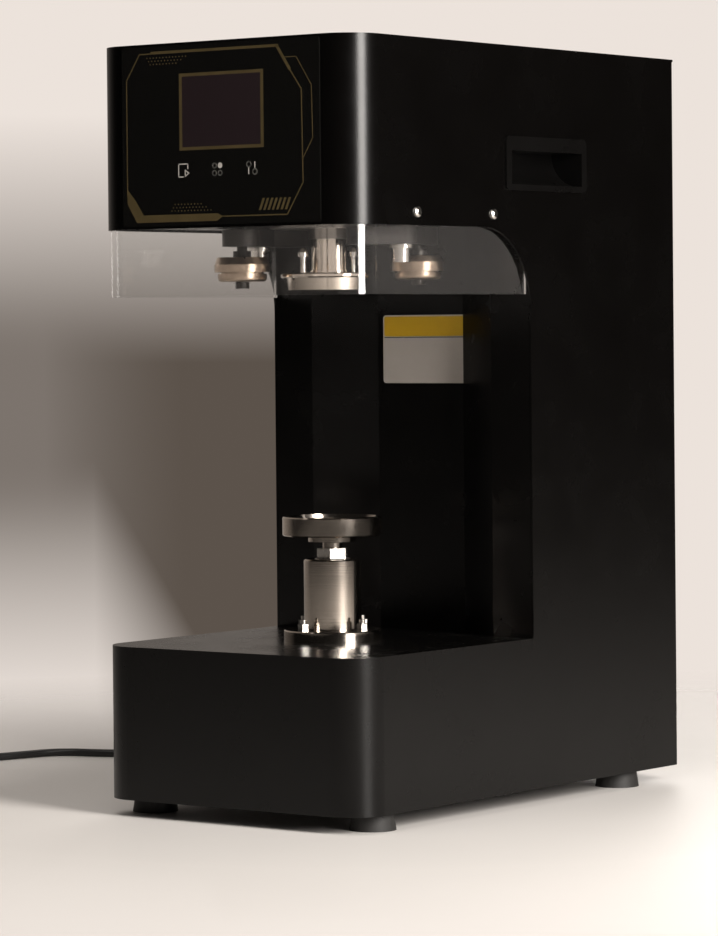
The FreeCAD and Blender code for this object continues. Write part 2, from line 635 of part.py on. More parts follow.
def head_underplate():
    """The thin plate that closes the head round the turret, hung on four standoffs."""
    body = new_body("head_underplate")
    under = f"({HEAD} + underplate_gap)"
    corners = plan("wall + guard_thickness + 2 * fit", "(throat_depth - fit)")
    pad(outline(new_sketch(body, level=under), corners), "underplate_thickness")
    bore(body, "0", "axis_depth", "underplate_hole", f"{under} + underplate_thickness",
         "underplate_thickness")
    seat = f"({under} + underplate_thickness)"
    posts = new_sketch(body, level=seat)
    for x, y in (("standoff_front_x", "standoff_front"), ("standoff_rear_x", "standoff_rear")):
        for side in ("-", ""):
            circle(posts, side + x, y, "standoff_radius")
    pad(posts, f"head_plate_level - {seat}")


# ---- seaming head --------------------------------------------------------------------------
ON_AXIS = {"y": f"{FRONT} + axis_depth"}
TURRET = {"y": f"{FRONT} + axis_depth", "turn": "turret_angle"}
TURRET_BACK = {"y": f"{FRONT} + axis_depth", "turn": "turret_angle + 180"}


def bearing_block():
    """The bearing housing: a spigot in the head plate under a bolted flange."""
    seat = "head_plate_level"
    turned("bearing_block", [
        ("bearing_lip", seat), ("spigot_radius", seat), ("spigot_radius", PLATE_TOP),
        ("block_flange_radius", PLATE_TOP),
        ("block_flange_radius", f"{PLATE_TOP} + block_flange_height"),
        ("block_radius", f"{PLATE_TOP} + block_flange_height"), ("block_radius", "block_top"),
        ("bearing_outer + running_play", "block_top"),
        ("bearing_outer + running_play", f"{seat} + bearing_lip_height"),
        ("bearing_lip", f"{seat} + bearing_lip_height")], **ON_AXIS)


def turret_bearings():
    """Two ball bearings between the housing and the turret's hub, as plain rings."""
    inner = "(hub_radius + running_play)"
    template = turned("bearing", [
        (inner, "0"), ("bearing_outer", "0"), ("bearing_outer", "bearing_height"),
        (inner, "bearing_height")], node=False, y="0", z="0")
    low = "(head_plate_level + bearing_lip_height)"
    copies("turret_bearings", template, [
        {**ON_AXIS, "z": f"{FLOOR} + {low} + {step} * (bearing_height + bearing_gap)"}
        for step in range(2)])


def shaft_bridge():
    """The portal over the head that clamps the fixed centre shaft."""
    body = new_body("shaft_bridge")
    leg = "(bridge_half - bridge_leg)"
    top = "(bridge_bottom + bridge_thickness)"
    sketch = new_sketch(body, "XZ_Plane", "axis_depth + bridge_depth / 2")
    outline(sketch, [("-bridge_half", PLATE_TOP), (f"-{leg}", PLATE_TOP),
                     (f"-{leg}", "bridge_bottom"), (leg, "bridge_bottom"), (leg, PLATE_TOP),
                     ("bridge_half", PLATE_TOP), ("bridge_half", top), ("-bridge_half", top)])
    pad(sketch, "bridge_depth")
    bore(body, "0", "axis_depth", "shaft_radius + running_play", top, "bridge_thickness")


def centre_shaft():
    """The shaft that never turns: it hangs from the bridge and carries the chuck."""
    foot = "(chuck_bottom + chuck_boss_height + chuck_plate_height)"
    hole = "(chuck_screw_radius + screw_play)"
    depth = "(chuck_bottom + chuck_screw_head_height + chuck_screw_grip + 1)"
    turned("centre_shaft", [
        (hole, foot), ("collar_radius", foot), ("collar_radius", f"{foot} + collar_height"),
        ("shaft_radius", f"{foot} + collar_height"),
        ("shaft_radius", "bridge_bottom + bridge_thickness"),
        ("0", "bridge_bottom + bridge_thickness"), ("0", depth), (hole, depth)], **ON_AXIS)


def seaming_chuck():
    """The chuck that the can's lid is pressed on: a tapered boss under a flange."""
    step = "(chuck_bottom + chuck_boss_height)"
    top = f"({step} + chuck_plate_height)"
    seat = "(chuck_bottom + chuck_screw_head_height)"
    hole = "(chuck_screw_radius + screw_play)"
    turned("seaming_chuck", [
        ("chuck_screw_head + 1", "chuck_bottom"),
        ("chuck_boss_radius - chuck_boss_taper", "chuck_bottom"), ("chuck_boss_radius", step),
        ("chuck_plate_radius - 1", step), ("chuck_plate_radius", f"{step} + 1"),
        ("chuck_plate_radius", f"{top} - 1"), ("chuck_plate_radius - 1", top), (hole, top),
        (hole, seat), ("chuck_screw_head + 1", seat)], **ON_AXIS)


def chuck_screw():
    """The screw up through the chuck into the shaft, its head sunk in the chuck."""
    seat = "(chuck_bottom + chuck_screw_head_height)"
    turned("chuck_screw", [
        ("0", "chuck_bottom + 0.5"), ("chuck_screw_head", "chuck_bottom + 0.5"),
        ("chuck_screw_head", seat), ("chuck_screw_radius", seat),
        ("chuck_screw_radius", f"{seat} + chuck_screw_grip"),
        ("0", f"{seat} + chuck_screw_grip")], **ON_AXIS)


def chuck_studs():
    """Two round-headed studs that lock the chuck against turning."""
    top = "(chuck_bottom + chuck_boss_height + chuck_plate_height)"
    neck = "(stud_height - stud_head * 1.6)"
    template = turned("stud", [
        ("0", "0"), ("stud_radius", "0"), ("stud_radius", neck), ("stud_head", neck),
        ("stud_head", f"{neck} + stud_head * 0.8"),
        ("stud_head * 0.6", f"{neck} + stud_head * 1.4"), ("stud_radius / 2", "stud_height"),
        ("0", "stud_height")], node=False, y="0", z="0")
    copies("chuck_studs", template, [
        {"x": f"({sign} stud_offset) * cos(turret_angle * 1deg)",
         "y": f"{FRONT} + axis_depth + ({sign} stud_offset) * sin(turret_angle * 1deg)",
         "z": f"{FLOOR} + {top}"} for sign in ("-", "")])


def turret():
    """The driven disc that carries the arms, with the hub that runs in the bearings."""
    inner = "(sleeve_radius + running_play)"
    top = "(turret_bottom + turret_thickness)"
    body = turned("turret", [
        (inner, "turret_bottom"), ("turret_radius", "turret_bottom"), ("turret_radius", top),
        ("hub_collar_radius", top), ("hub_collar_radius", "turret_seat"),
        ("hub_radius", "turret_seat"),
        ("hub_radius", "turret_pulley_bottom + pulley_height + pulley_flange"),
        (inner, "turret_pulley_bottom + pulley_height + pulley_flange")], **TURRET)
    holes = new_sketch(body, level=top)
    for sign in ("", "-"):
        circle(holes, f"{sign}(-pivot_out)", f"{sign}pivot_side",
               "pivot_thread_radius + screw_play")
    pocket(holes, "turret_thickness")


def pulley_profile(tread, hole, bottom):
    """Half profile of a flat-belt pulley with two flanges."""
    rim = f"({tread} + pulley_rim)"
    top = f"({bottom} + pulley_height)"
    return [(hole, bottom), (rim, bottom), (rim, f"{bottom} + pulley_flange"),
            (tread, f"{bottom} + pulley_flange"), (tread, f"{top} - pulley_flange"),
            (rim, f"{top} - pulley_flange"), (rim, top), (hole, top)]


def turret_pulley():
    """The pulley on the turret's hub."""
    turned("turret_pulley", pulley_profile(
        "turret_pulley_radius", "hub_radius + running_play", "turret_pulley_bottom"), **TURRET)


def arm_pivot_bolts():
    """The two shoulder bolts that the arms swing on, up into the turret."""
    foot = "(arm_bottom - fit)"
    template = turned("pivot_bolt", [
        ("0", "pivot_bottom"), ("pivot_radius", "pivot_bottom"),
        ("pivot_radius", f"{foot} - pivot_flange_height"),
        ("pivot_flange_radius", f"{foot} - pivot_flange_height"),
        ("pivot_flange_radius", foot), ("pivot_radius", foot),
        ("pivot_radius", "turret_bottom"), ("pivot_thread_radius", "turret_bottom"),
        ("pivot_thread_radius", "turret_bottom + turret_thickness"),
        ("0", "turret_bottom + turret_thickness")], node=False, y="0", z="0")
    copies("arm_pivot_bolts", template, [pivot_place(sign) for sign in ("", "-")])


def turret_point(out, side, sign=""):
    """A point of the turret's plan in the model: out along its arm line and to the side."""
    cosine = "cos(turret_angle * 1deg)"
    sine = "sin(turret_angle * 1deg)"
    return {"x": f"{sign}(({out}) * {cosine} - ({side}) * {sine})",
            "y": f"{FRONT} + axis_depth + ({sign}(({out}) * {sine} + ({side}) * {cosine}))"}


def pivot_place(sign):
    """Where an arm's pivot stands: behind the left roller, or before the right one."""
    return turret_point("-pivot_out", "pivot_side", sign)


def swing_arm(name, sign, pin_bottom, disc_bottom):
    """An arm with its roller pin below and its follower pin above, drawn from its pivot."""
    turn = "turret_angle" if sign == "" else "turret_angle + 180"
    body = new_body(name, turn=turn, **pivot_place(sign))
    roller = ("pivot_out - roller_out", "-pivot_side")
    lever = ("pivot_out - lever_out", "lever_side - pivot_side")
    for reach, end in ((roller, "arm_roller_end"), (lever, "arm_lever_end")):
        sketch = new_sketch(body, level="arm_bottom")
        pad(link(sketch, ("0", "0", "arm_pivot_end"), (*reach, end)), "arm_thickness")
    top = "(arm_bottom + arm_thickness)"
    disc(body, "0", "0", "arm_boss_radius", top, f"turret_bottom - fit - {top}")
    disc(body, *lever, "follower_pin + 2", top, "follower_seat")
    disc(body, *lever, "follower_pin", top, "2 * follower_seat + follower_height")
    collar = "(roller_top + roller_gap)"
    disc(body, *roller, "roller_collar_radius", collar, "roller_collar_height")
    disc(body, *roller, "roller_pin_radius", pin_bottom, f"arm_bottom - {pin_bottom}")
    disc(body, *roller, "roller_end_radius", pin_bottom,
         f"{disc_bottom} - roller_gap - {pin_bottom}")
    bore(body, "0", "0", "pivot_radius + running_play", "turret_bottom",
         "turret_bottom - arm_bottom")
    return body


def seam_roller(name, sign, size, band_top, groove_top, disc_bottom):
    """A seaming roller: a cone and a band over a groove, and a round-edged guide disc."""
    hole = "(roller_pin_radius + running_play)"
    groove = f"({groove_top} - groove_height)"
    rim = f"{size}_disc_radius"
    turned(name, [
        (hole, disc_bottom), (f"{rim} - disc_round", disc_bottom, "disc_round"),
        (rim, f"{disc_bottom} + disc_round"), (rim, groove),
        (f"{rim} - groove_depth", groove), (f"{rim} - groove_depth", groove_top),
        (f"{size}_roller_radius", groove_top), (f"{size}_roller_radius", band_top),
        (f"{size}_cone_radius", "roller_top"), (hole, "roller_top")],
        turn="turret_angle", **turret_point("-roller_out", "0", sign))


def cam_follower(name, sign):
    """The roller on an arm's lever that rides round the arm cam."""
    low = "(arm_bottom + arm_thickness + follower_seat + roller_gap)"
    hole = "(follower_pin + running_play)"
    turned(name, [
        (hole, low), ("follower_radius - 0.6", low), ("follower_radius", f"{low} + 0.6"),
        ("follower_radius", f"{low} + follower_height - 0.6"),
        ("follower_radius - 0.6", f"{low} + follower_height"),
        (hole, f"{low} + follower_height")],
        turn="turret_angle", **turret_point("-lever_out", "lever_side", sign))


def arm_cam():
    """The cam disc with one smooth lobe, on the sleeve and pulley that drive it.

    The lobe rises as a cosine bell, so the arms swing in and out without a jerk.
    """
    centre = FreeCAD.Vector()
    up = FreeCAD.Vector(0, 0, 1)
    base, rise = number("cam_radius"), number("cam_lobe")
    middle, spread = number("cam_lobe_angle"), number("cam_lobe_spread")

    def rim(angle):
        off = (angle - middle) / spread
        radius = base + rise * (1 + math.cos(math.pi * off)) / 2
        turn = math.radians(angle)
        return FreeCAD.Vector(radius * math.cos(turn), radius * math.sin(turn), 0)

    lobe = Part.BSplineCurve()
    lobe.interpolate([rim(middle - spread + 2 * spread * step / 24) for step in range(25)])
    start, end = math.radians(middle + spread), math.radians(middle - spread + 360)
    rest = Part.ArcOfCircle(Part.Circle(centre, up, base), start, end)
    plate = Part.Face(Part.Wire([lobe.toShape(), rest.toShape()]))
    low = number("cam_bottom")
    plate = plate.extrude(up * number("cam_thickness"))
    plate.translate(up * low)
    top = number("cam_pulley_bottom + pulley_height + pulley_flange")
    foot = number("sleeve_foot")
    tread, rim_radius = number("cam_pulley_radius"), number("cam_pulley_radius + pulley_rim")
    wheel_low, wheel_high = number("cam_pulley_bottom"), number("cam_pulley_bottom + pulley_height")
    flange = number("pulley_flange")
    solid = plate.fuse([
        Part.makeCylinder(number("sleeve_foot_radius"), low - foot, up * foot),
        Part.makeCylinder(number("sleeve_radius"), top - low, up * low),
        Part.makeCylinder(tread, wheel_high - wheel_low, up * wheel_low),
        Part.makeCylinder(rim_radius, flange, up * wheel_low),
        Part.makeCylinder(rim_radius, flange, up * (wheel_high - flange))])
    hole = Part.makeCylinder(number("shaft_radius + running_play"), top - foot, up * foot)
    drawn("arm_cam", solid.cut(hole).removeSplitter(), **TURRET)


# ---- drive ---------------------------------------------------------------------------------
def main_motor():
    """The seaming motor, hung under the head plate inside the column with its shaft up."""
    body = new_body("main_motor", y=f"{FRONT} + motor_depth")
    seat = "head_plate_level"
    flange = f"({seat} - motor_flange_height)"
    sketch = rounded(new_sketch(body, level=flange), "(-motor_flange_half)",
                     "(-motor_flange_half)", "motor_flange_half", "motor_flange_half", "8")
    pad(sketch, "motor_flange_height")
    disc(body, "0", "0", "motor_radius", f"{flange} - motor_length", "motor_length")
    disc(body, "0", "0", "motor_cap_radius", f"{flange} - motor_length - motor_cap_height",
         "motor_cap_height")
    bore(body, "0", "0", "motor_shaft_radius + running_play", seat, "motor_shaft_grip")


def motor_pulleys():
    """The motor's shaft with the pulley for the turret and the pulley for the cam."""
    shaft = "motor_shaft_radius"
    low = pulley_profile("motor_pulley_radius", shaft, "turret_pulley_bottom")
    high = pulley_profile("motor_pulley_radius", shaft, "cam_pulley_bottom")
    foot = "(head_plate_level - motor_shaft_grip + 1)"
    top = "(cam_pulley_bottom + pulley_height + pulley_flange)"
    turned("motor_pulleys", [("0", foot), (shaft, foot)] + low + high
           + [(shaft, top), ("0", top)], y=f"{FRONT} + motor_depth")


def belt(name, wheel, bottom):
    """A toothed belt from a head pulley back to the motor, drawn as a plain closed band."""
    body = new_body(name, y=f"{FRONT} + axis_depth")
    reach = "(motor_depth - axis_depth)"
    low = f"({bottom} + pulley_flange + belt_side_play)"
    sketch = new_sketch(body, level=low)
    for gap in ("belt_play + belt_thickness", "belt_play"):
        link(sketch, ("0", "0", f"{wheel} + {gap}"), ("0", reach, f"motor_pulley_radius + {gap}"))
    pad(sketch, "pulley_height - 2 * pulley_flange - 2 * belt_side_play")


# ---- lift ----------------------------------------------------------------------------------
def lift_housing():
    """The plated guide that the can lift slides in, bolted to the deck by its flange."""
    deck = "base_height"
    hole = "(plunger_radius + running_play)"
    flange = f"({deck} + housing_flange_height)"
    turned("lift_housing", [
        (hole, f"{deck} - housing_spigot_depth"),
        ("housing_spigot_radius", f"{deck} - housing_spigot_depth"),
        ("housing_spigot_radius", deck), ("housing_flange_radius", deck),
        ("housing_flange_radius", f"{flange} - 1"), ("housing_flange_radius - 1", flange),
        ("housing_radius", flange), ("housing_radius", "housing_top - housing_chamfer"),
        ("housing_radius - housing_chamfer", "housing_top"), (hole, "housing_top")], **ON_AXIS)
    holes = new_sketch(nodes[-1], level=flange)
    for x, y in lift_bolt_places():
        circle(holes, x, y.replace("axis_depth + ", ""), "lift_stud_radius + screw_play")
    pocket(holes, "housing_flange_height")


def housing_nuts():
    """Four studs up from the stiffener with the nuts that hold the lift housing."""
    foot = "(base_height - deck_thickness - stiffener_thickness)"
    seat = "(base_height + housing_flange_height)"
    template = new_body("lift_nut", node=False, y="0", z="0")
    pad(hexagon(new_sketch(template, level=seat), "lift_nut_flats"), "lift_nut_height")
    disc(template, "0", "0", "lift_stud_radius", foot,
         f"{seat} + lift_nut_height + lift_stud_tip - {foot}")
    copies("housing_nuts", template, [{"x": x, "y": f"{FRONT} + {y}"}
                                      for x, y in lift_bolt_places()])


def lift_plunger():
    """The sliding column of the lift: a bored rod whose forked foot holds the follower."""
    body = turned("lift_plunger", [
        ("0", "plunger_bottom"), ("plunger_radius", "plunger_bottom"),
        ("plunger_radius", "plunger_top - 1"), ("plunger_radius - 1", "plunger_top"),
        ("stem_radius + running_play", "plunger_top"),
        ("stem_radius + running_play", "stem_bore_bottom"), ("0", "stem_bore_bottom")],
        **ON_AXIS)
    fork = new_sketch(body, "XZ_Plane", "clevis_half")
    rectangle(fork, "-(plunger_radius + 1)", "plunger_bottom - 1", "plunger_radius + 1",
              "clevis_top")
    pocket(fork, "2 * clevis_half", onward=True)
    pin = new_sketch(body, "XZ_Plane", "clevis_half + 3")
    circle(pin, "0", "lift_cam_height + lift_cam_start", "lift_follower_pin")
    pad(pin, "2 * clevis_half + 6")


def lock_nut():
    """The jam nut that locks the tray's stem on top of the lift."""
    body = new_body("lock_nut", **ON_AXIS)
    pad(hexagon(new_sketch(body, level="plunger_top"), "nut_flats"), "nut_height")
    bore(body, "0", "0", "stem_radius + running_play", "plunger_top + nut_height", "nut_height")


def tray_stem():
    """The threaded stem that sets the tray's height, with a spigot for the tray."""
    turned("tray_stem", [
        ("0", "stem_bottom"), ("stem_radius - 1", "stem_bottom"),
        ("stem_radius", "stem_bottom + 1"), ("stem_radius", "stem_shoulder"),
        ("stem_spigot_radius", "stem_shoulder"), ("stem_spigot_radius", "stem_top"),
        ("0", "stem_top")], **ON_AXIS)


def can_tray():
    """The round tray that the can stands on, with a raised rim and a hub below."""
    hub = "(tray_bottom - tray_hub_height)"
    top = "(tray_bottom + tray_height)"
    floor = f"({top} - tray_recess)"
    hole = "(stem_spigot_radius + running_play)"
    turned("can_tray", [
        (hole, hub), ("tray_hub_radius", hub), ("tray_hub_radius", "tray_bottom"),
        ("tray_radius - tray_edge", "tray_bottom"), ("tray_radius", "tray_bottom + tray_edge"),
        ("tray_radius", f"{top} - tray_edge"), ("tray_radius - tray_edge", top),
        ("tray_radius - tray_rim + 1", top), ("tray_radius - tray_rim", floor), ("0", floor),
        ("0", "tray_bore_top"), (hole, "tray_bore_top")], **ON_AXIS)


def lift_cam():
    """The spiral cam that raises the lift, with its hub and shaft.

    The follower's centre climbs evenly with the turn, so the rim lies one follower radius,
    and the play, inside that spiral, square to it.
    """
    start, stroke = number("lift_cam_start"), number("lift_stroke")
    climb = number("lift_cam_turn")
    inset = number("lift_follower_radius + lift_cam_play")
    width = number("lift_cam_width")
    across = FreeCAD.Vector(0, 1, 0)

    def pitch(angle):
        if angle <= climb:
            return start + stroke * angle / climb
        fall = (angle - climb) / (360 - climb)
        return start + stroke * (1 + math.cos(math.pi * min(fall / 0.8, 1))) / 2

    def rim(angle):
        radius = pitch(angle)
        slope = (pitch(angle + 0.5) - pitch(angle - 0.5)) / math.radians(1)
        turn = math.radians(90 + angle)
        outward = FreeCAD.Vector(math.cos(turn), 0, math.sin(turn))
        onward = FreeCAD.Vector(-math.sin(turn), 0, math.cos(turn))
        square = (outward * radius - onward * slope).normalize()
        return outward * radius - square * inset

    curve = Part.BSplineCurve()
    curve.interpolate([rim(2 + 10 * step) for step in range(36)], PeriodicFlag=True)
    plate = Part.Face(Part.Wire(curve.toShape())).extrude(across * width)
    plate.translate(across * (-width / 2))
    hub = Part.makeCylinder(number("lift_hub_radius"), number("lift_hub_width"),
                            across * (width / 2), across)
    shaft_length = number("gearbox_front + lift_shaft_grip - axis_depth") - width / 2
    shaft = Part.makeCylinder(number("lift_shaft_radius"), shaft_length,
                              across * (width / 2), across)
    drawn("lift_cam", plate.fuse([hub, shaft]).removeSplitter(),
          y=f"{FRONT} + axis_depth", z=f"{FLOOR} + lift_cam_height")


def lift_follower():
    """The roller in the lift's fork that rides on the spiral cam."""
    hole = "(lift_follower_pin + running_play)"
    half = "(lift_follower_width / 2)"
    rim = "lift_follower_radius"
    template = level_piece("follower", [
        (hole, f"-{half}"), (f"{rim} - 1", f"-{half}"), (rim, f"-{half} + 1"),
        (rim, f"{half} - 1"), (f"{rim} - 1", half), (hole, half)], "back")
    copies("lift_follower", template, [
        {**ON_AXIS, "z": f"{FLOOR} + lift_cam_height + lift_cam_start"}])


def lift_gearmotor():
    """The gearbox and motor that turn the lift cam."""
    body = new_body("lift_gearmotor", z=f"{FLOOR} + lift_cam_height")
    back = "(gearbox_front + gearbox_depth)"
    sketch = rounded(new_sketch(body, "XZ_Plane", back), "(-gearbox_half)", "(-gearbox_half)",
                     "gearbox_half", "gearbox_half", "4")
    pad(sketch, "gearbox_depth")
    can = new_sketch(body, "XZ_Plane", f"{back} + lift_motor_length")
    circle(can, "0", "0", "lift_motor_radius")
    pad(can, "lift_motor_length")
    hole = new_sketch(body, "XZ_Plane", "gearbox_front")
    circle(hole, "0", "0", "lift_shaft_radius + running_play")
    pocket(hole, "lift_shaft_grip + 1")


def gearmotor_saddle():
    """The folded saddle that holds the gearmotor up from the floor plate."""
    body = new_body("gearmotor_saddle")
    top = "(lift_cam_height - gearbox_half)"
    sheet_top = "(floor_plate + saddle_plate)"
    wide, narrow = "saddle_half", "gearbox_half"
    inner = f"({narrow} - saddle_plate)"
    sketch = new_sketch(body, "XZ_Plane", "gearbox_front + gearbox_depth")
    outline(sketch, [
        (f"-{wide}", "floor_plate"), (f"-{inner}", "floor_plate"),
        (f"-{inner}", f"{top} - saddle_plate"), (inner, f"{top} - saddle_plate"),
        (inner, "floor_plate"), (wide, "floor_plate"), (wide, sheet_top),
        (narrow, sheet_top), (narrow, top), (f"-{narrow}", top), (f"-{narrow}", sheet_top),
        (f"-{wide}", sheet_top)])
    pad(sketch, "gearbox_depth")


# ---- guard and handles ---------------------------------------------------------------------
def splash_guard():
    """The clear skirt that hangs inside the head's edge round the front and sides."""
    body = new_body("splash_guard")
    corners = plan("(wall + fit)", "guard_rear")
    corners += backwards(plan("(wall + fit + guard_thickness)", "guard_rear"))
    sketch = outline(new_sketch(body, level=f"{HEAD} - guard_drop"), corners)
    pad(sketch, "guard_drop + guard_overlap")
    holes = new_sketch(body, "YZ_Plane", SIDE)
    for depth in ("guard_screw_front", "guard_screw_rear"):
        circle(holes, depth, "guard_screw_level", "guard_hole_radius")
    pocket(holes, "cabinet_width")


def guard_screws():
    """Domed screws with nuts that hold the guard to the cabinet's sides."""
    grip = "(wall + fit + guard_thickness)"
    shank = "guard_screw_radius"
    places = []
    for facing, side in (("left", "-"), ("right", "")):
        profile = button_screw(shank, "guard_screw_head", "guard_screw_head_height",
                               f"{grip} + guard_nut_height + 1")
        profile[1:2] = [(shank, f"-({grip} + guard_nut_height + 1)"),
                        (shank, f"-({grip} + guard_nut_height)"),
                        ("guard_nut_radius", f"-({grip} + guard_nut_height)"),
                        ("guard_nut_radius", f"-{grip}"), (shank, f"-{grip}")]
        template = level_piece("guard_screw", profile, facing)
        places += [(template, {"x": f"{side}{SIDE}", "y": f"{FRONT} + {depth}",
                               "z": f"{FLOOR} + guard_screw_level"})
                   for depth in ("guard_screw_front", "guard_screw_rear")]
    pieces = []
    for index, (template, where) in enumerate(places, 1):
        piece = doc.addObject("App::Link", f"guard_screws_{index}")
        piece.LinkedObject = template
        pieces.append(place(piece, **where))
    group = doc.addObject("Part::Compound", "guard_screws_set")
    group.Links = pieces
    keep(refresh(*pieces, group), "guard_screws")


def handle_cup():
    """The moulded cup in the right side: a flange outside and a finger scoop inside."""
    body = new_body("handle_cup_right")
    flange = new_sketch(body, "YZ_Plane", SIDE)
    rounded(flange, "(handle_depth - handle_flange_half)", "handle_flange_bottom",
            "(handle_depth + handle_flange_half)", "handle_flange_top", "handle_corner")
    pad(flange, "handle_flange")

    def scoop(grow):
        """The cup's section from the side: flat on top, curved down to the lower lip."""
        low, high = f"(handle_bottom - {grow})", f"(handle_top + {grow})"
        deep = f"({SIDE} - handle_reach - {grow})"
        lip = f"({SIDE} - handle_lip - {grow})"
        return [(f"{SIDE} + handle_flange", low), (f"{SIDE} + handle_flange", high),
                (deep, high, f"handle_scoop + {grow} * 2"), (lip, low)]

    outer = new_sketch(body, "XZ_Plane", "handle_depth + handle_half + handle_wall")
    corners = scoop("handle_wall")
    corners[0] = (SIDE, corners[0][1])
    corners[1] = (SIDE, corners[1][1])
    pad(outline(outer, corners), "2 * (handle_half + handle_wall)")
    inner = new_sketch(body, "XZ_Plane", "handle_depth + handle_half")
    pocket(outline(inner, scoop("0")), "2 * handle_half", onward=True)
    mirrored("handle_cup_left", body)


# ---- controls ------------------------------------------------------------------------------
def control_panel():
    """The glossy touch overlay on the front of the head."""
    body = new_body("control_panel")
    sketch = rounded(new_sketch(body, "XZ_Plane"), "(-panel_half)", "panel_bottom",
                     "panel_half", "panel_top", "panel_corner")
    pad(sketch, "panel_thickness")


def display_module():
    """The screen in its window, on the circuit that backs it."""
    body = new_body("display_module")
    back = new_sketch(body, "XZ_Plane", "wall + module_depth")
    rectangle(back, "screen_middle - module_half_width", "screen_level - module_half_height",
              "screen_middle + module_half_width", "screen_level + module_half_height")
    pad(back, "module_depth")
    glass = new_sketch(body, "XZ_Plane", "wall")
    half_width = "(screen_half_width - screen_play)"
    half_height = "(screen_half_height - screen_play)"
    rectangle(glass, f"screen_middle - {half_width}", f"screen_level - {half_height}",
              f"screen_middle + {half_width}", f"screen_level + {half_height}")
    pad(glass, "wall - screen_gap")


def control_board():
    """The control circuit on four posts behind the screen, with its relays."""
    body = new_body("control_board")
    back = "(wall + board_offset + board_thickness)"
    sketch = new_sketch(body, "XZ_Plane", back)
    rectangle(sketch, "-board_half_width", "screen_level - board_half_height",
              "board_half_width", "screen_level + board_half_height")
    pad(sketch, "board_thickness")
    posts = new_sketch(body, "XZ_Plane", "wall + board_offset")
    for x in ("-(board_half_width - board_post_inset)", "board_half_width - board_post_inset"):
        for sign in ("-", "+"):
            circle(posts, x, f"screen_level {sign} (board_half_height - board_post_inset)",
                   "board_post")
    pad(posts, "board_offset")
    relays = new_sketch(body, "XZ_Plane", f"{back} + relay_height")
    for step in (-2, 0, 2):
        left = f"({step} * relay_side - relay_side / 2)"
        rectangle(relays, left, "screen_level", f"{left} + relay_side",
                  "screen_level + relay_side")
    pad(relays, "relay_height")


# ---- rear electrics ------------------------------------------------------------------------
def power_supply():
    """The power supply case on the floor plate, stepped at its terminals."""
    body = new_body("power_supply")
    back = "(supply_front + supply_depth)"
    top = "(floor_plate + supply_height)"
    low = f"({top} - supply_step)"
    sketch = new_sketch(body, "YZ_Plane", "-supply_half")
    outline(sketch, [("supply_front", "floor_plate"), (back, "floor_plate"), (back, top),
                     ("supply_front + supply_lip", top), ("supply_front + supply_lip", low),
                     ("supply_front", low)])
    pad(sketch, "2 * supply_half")


SWITCH = {"x": "switch_x", "y": f"{FRONT} + cabinet_depth", "z": f"{FLOOR} + switch_level"}


def power_switch_body():
    """The switch's frame in the rear cover, hollow where the rocker sits."""
    body = new_body("power_switch_body", **SWITCH)
    bezel = new_sketch(body, "XZ_Plane", "switch_bezel")
    rectangle(bezel, "-switch_half_width", "-switch_half_height", "switch_half_width",
              "switch_half_height")
    pad(bezel, "switch_bezel")
    case = new_sketch(body, "XZ_Plane")
    rectangle(case, "-switch_body_half_width", "-switch_body_half_height",
              "switch_body_half_width", "switch_body_half_height")
    pad(case, "switch_body_depth")
    slot = new_sketch(body, "XZ_Plane", "switch_bezel")
    across = "(rocker_half_width + rocker_play)"
    rectangle(slot, f"-{across}", "-rocker_slot_half", across, "rocker_slot_half")
    pocket(slot, "switch_bezel + rocker_pivot_depth + rocker_radius + rocker_play", onward=True)
    pin = new_sketch(body, "YZ_Plane", f"-{across} - 1")
    circle(pin, "-rocker_pivot_depth", "0", "1.5")
    pad(pin, f"2 * {across} + 2")


def power_switch_rocker():
    """The rocker on its pin, at rest with its lower end out, which is off."""
    body = new_body("power_switch_rocker", x="switch_x",
                    y=f"{FRONT} + cabinet_depth - rocker_pivot_depth",
                    z=f"{FLOOR} + switch_level")
    lean = "(rocker_tilt * 1deg)"

    def tilted(out, up):
        return (f"({out}) * cos({lean}) - ({up}) * sin({lean})",
                f"({out}) * sin({lean}) + ({up}) * cos({lean})")

    half = "(rocker_radius - 0.3)"
    ends = "sqrt(rocker_radius ^ 2 - (rocker_radius - 0.3) ^ 2)"
    sketch = new_sketch(body, "YZ_Plane", "-rocker_half_width")
    outline(sketch, [
        tilted("rocker_edge", half), tilted(ends, half),
        tilted(f"-{half} * 0.7", f"{half} * 0.7"), tilted(f"-{half} * 0.7", f"-{half} * 0.7"),
        tilted(ends, f"-{half}"), tilted("rocker_edge", f"-{half}"),
        tilted("rocker_middle", "0")])
    pad(sketch, "2 * rocker_half_width")
    hole = new_sketch(body, "YZ_Plane", "rocker_half_width")
    circle(hole, "0", "0", "1.5 + running_play")
    pocket(hole, "2 * rocker_half_width")


def cord_gland():
    """The strain relief in the rear cover: a flange, a neck and a tapered sleeve."""
    tip = "(gland_flange + gland_taper_length)"
    template = level_piece("gland", [
        ("0", "-gland_inside"), ("gland_radius", "-gland_inside"), ("gland_radius", "0"),
        ("gland_flange_radius", "0"), ("gland_flange_radius", "gland_flange"),
        ("gland_radius", "gland_flange"), ("gland_tip_radius", tip), ("0", tip)], "back")
    copies("cord_gland", template, [
        {"x": "gland_x", "y": f"{FRONT} + cabinet_depth", "z": f"{FLOOR} + gland_level"}])


# ---- cord ----------------------------------------------------------------------------------
# The cord leaves the gland, drops to the ground behind the cabinet and runs off to the left.
CORD_ROUTE = [
    (-90, 259.5, 56), (-90, 297, 56), (-111, 332, 42), (-150, 348, 19), (-196, 341, 4.6),
    (-240, 312, 3.6), (-284, 262, 3.6), (-322, 200, 3.6), (-362, 142, 3.6),
    (-412, 104, 3.6), (-464, 92, 3.6), (-477, 38, 3.6), (-504.7, -31.9, 3.6),
]


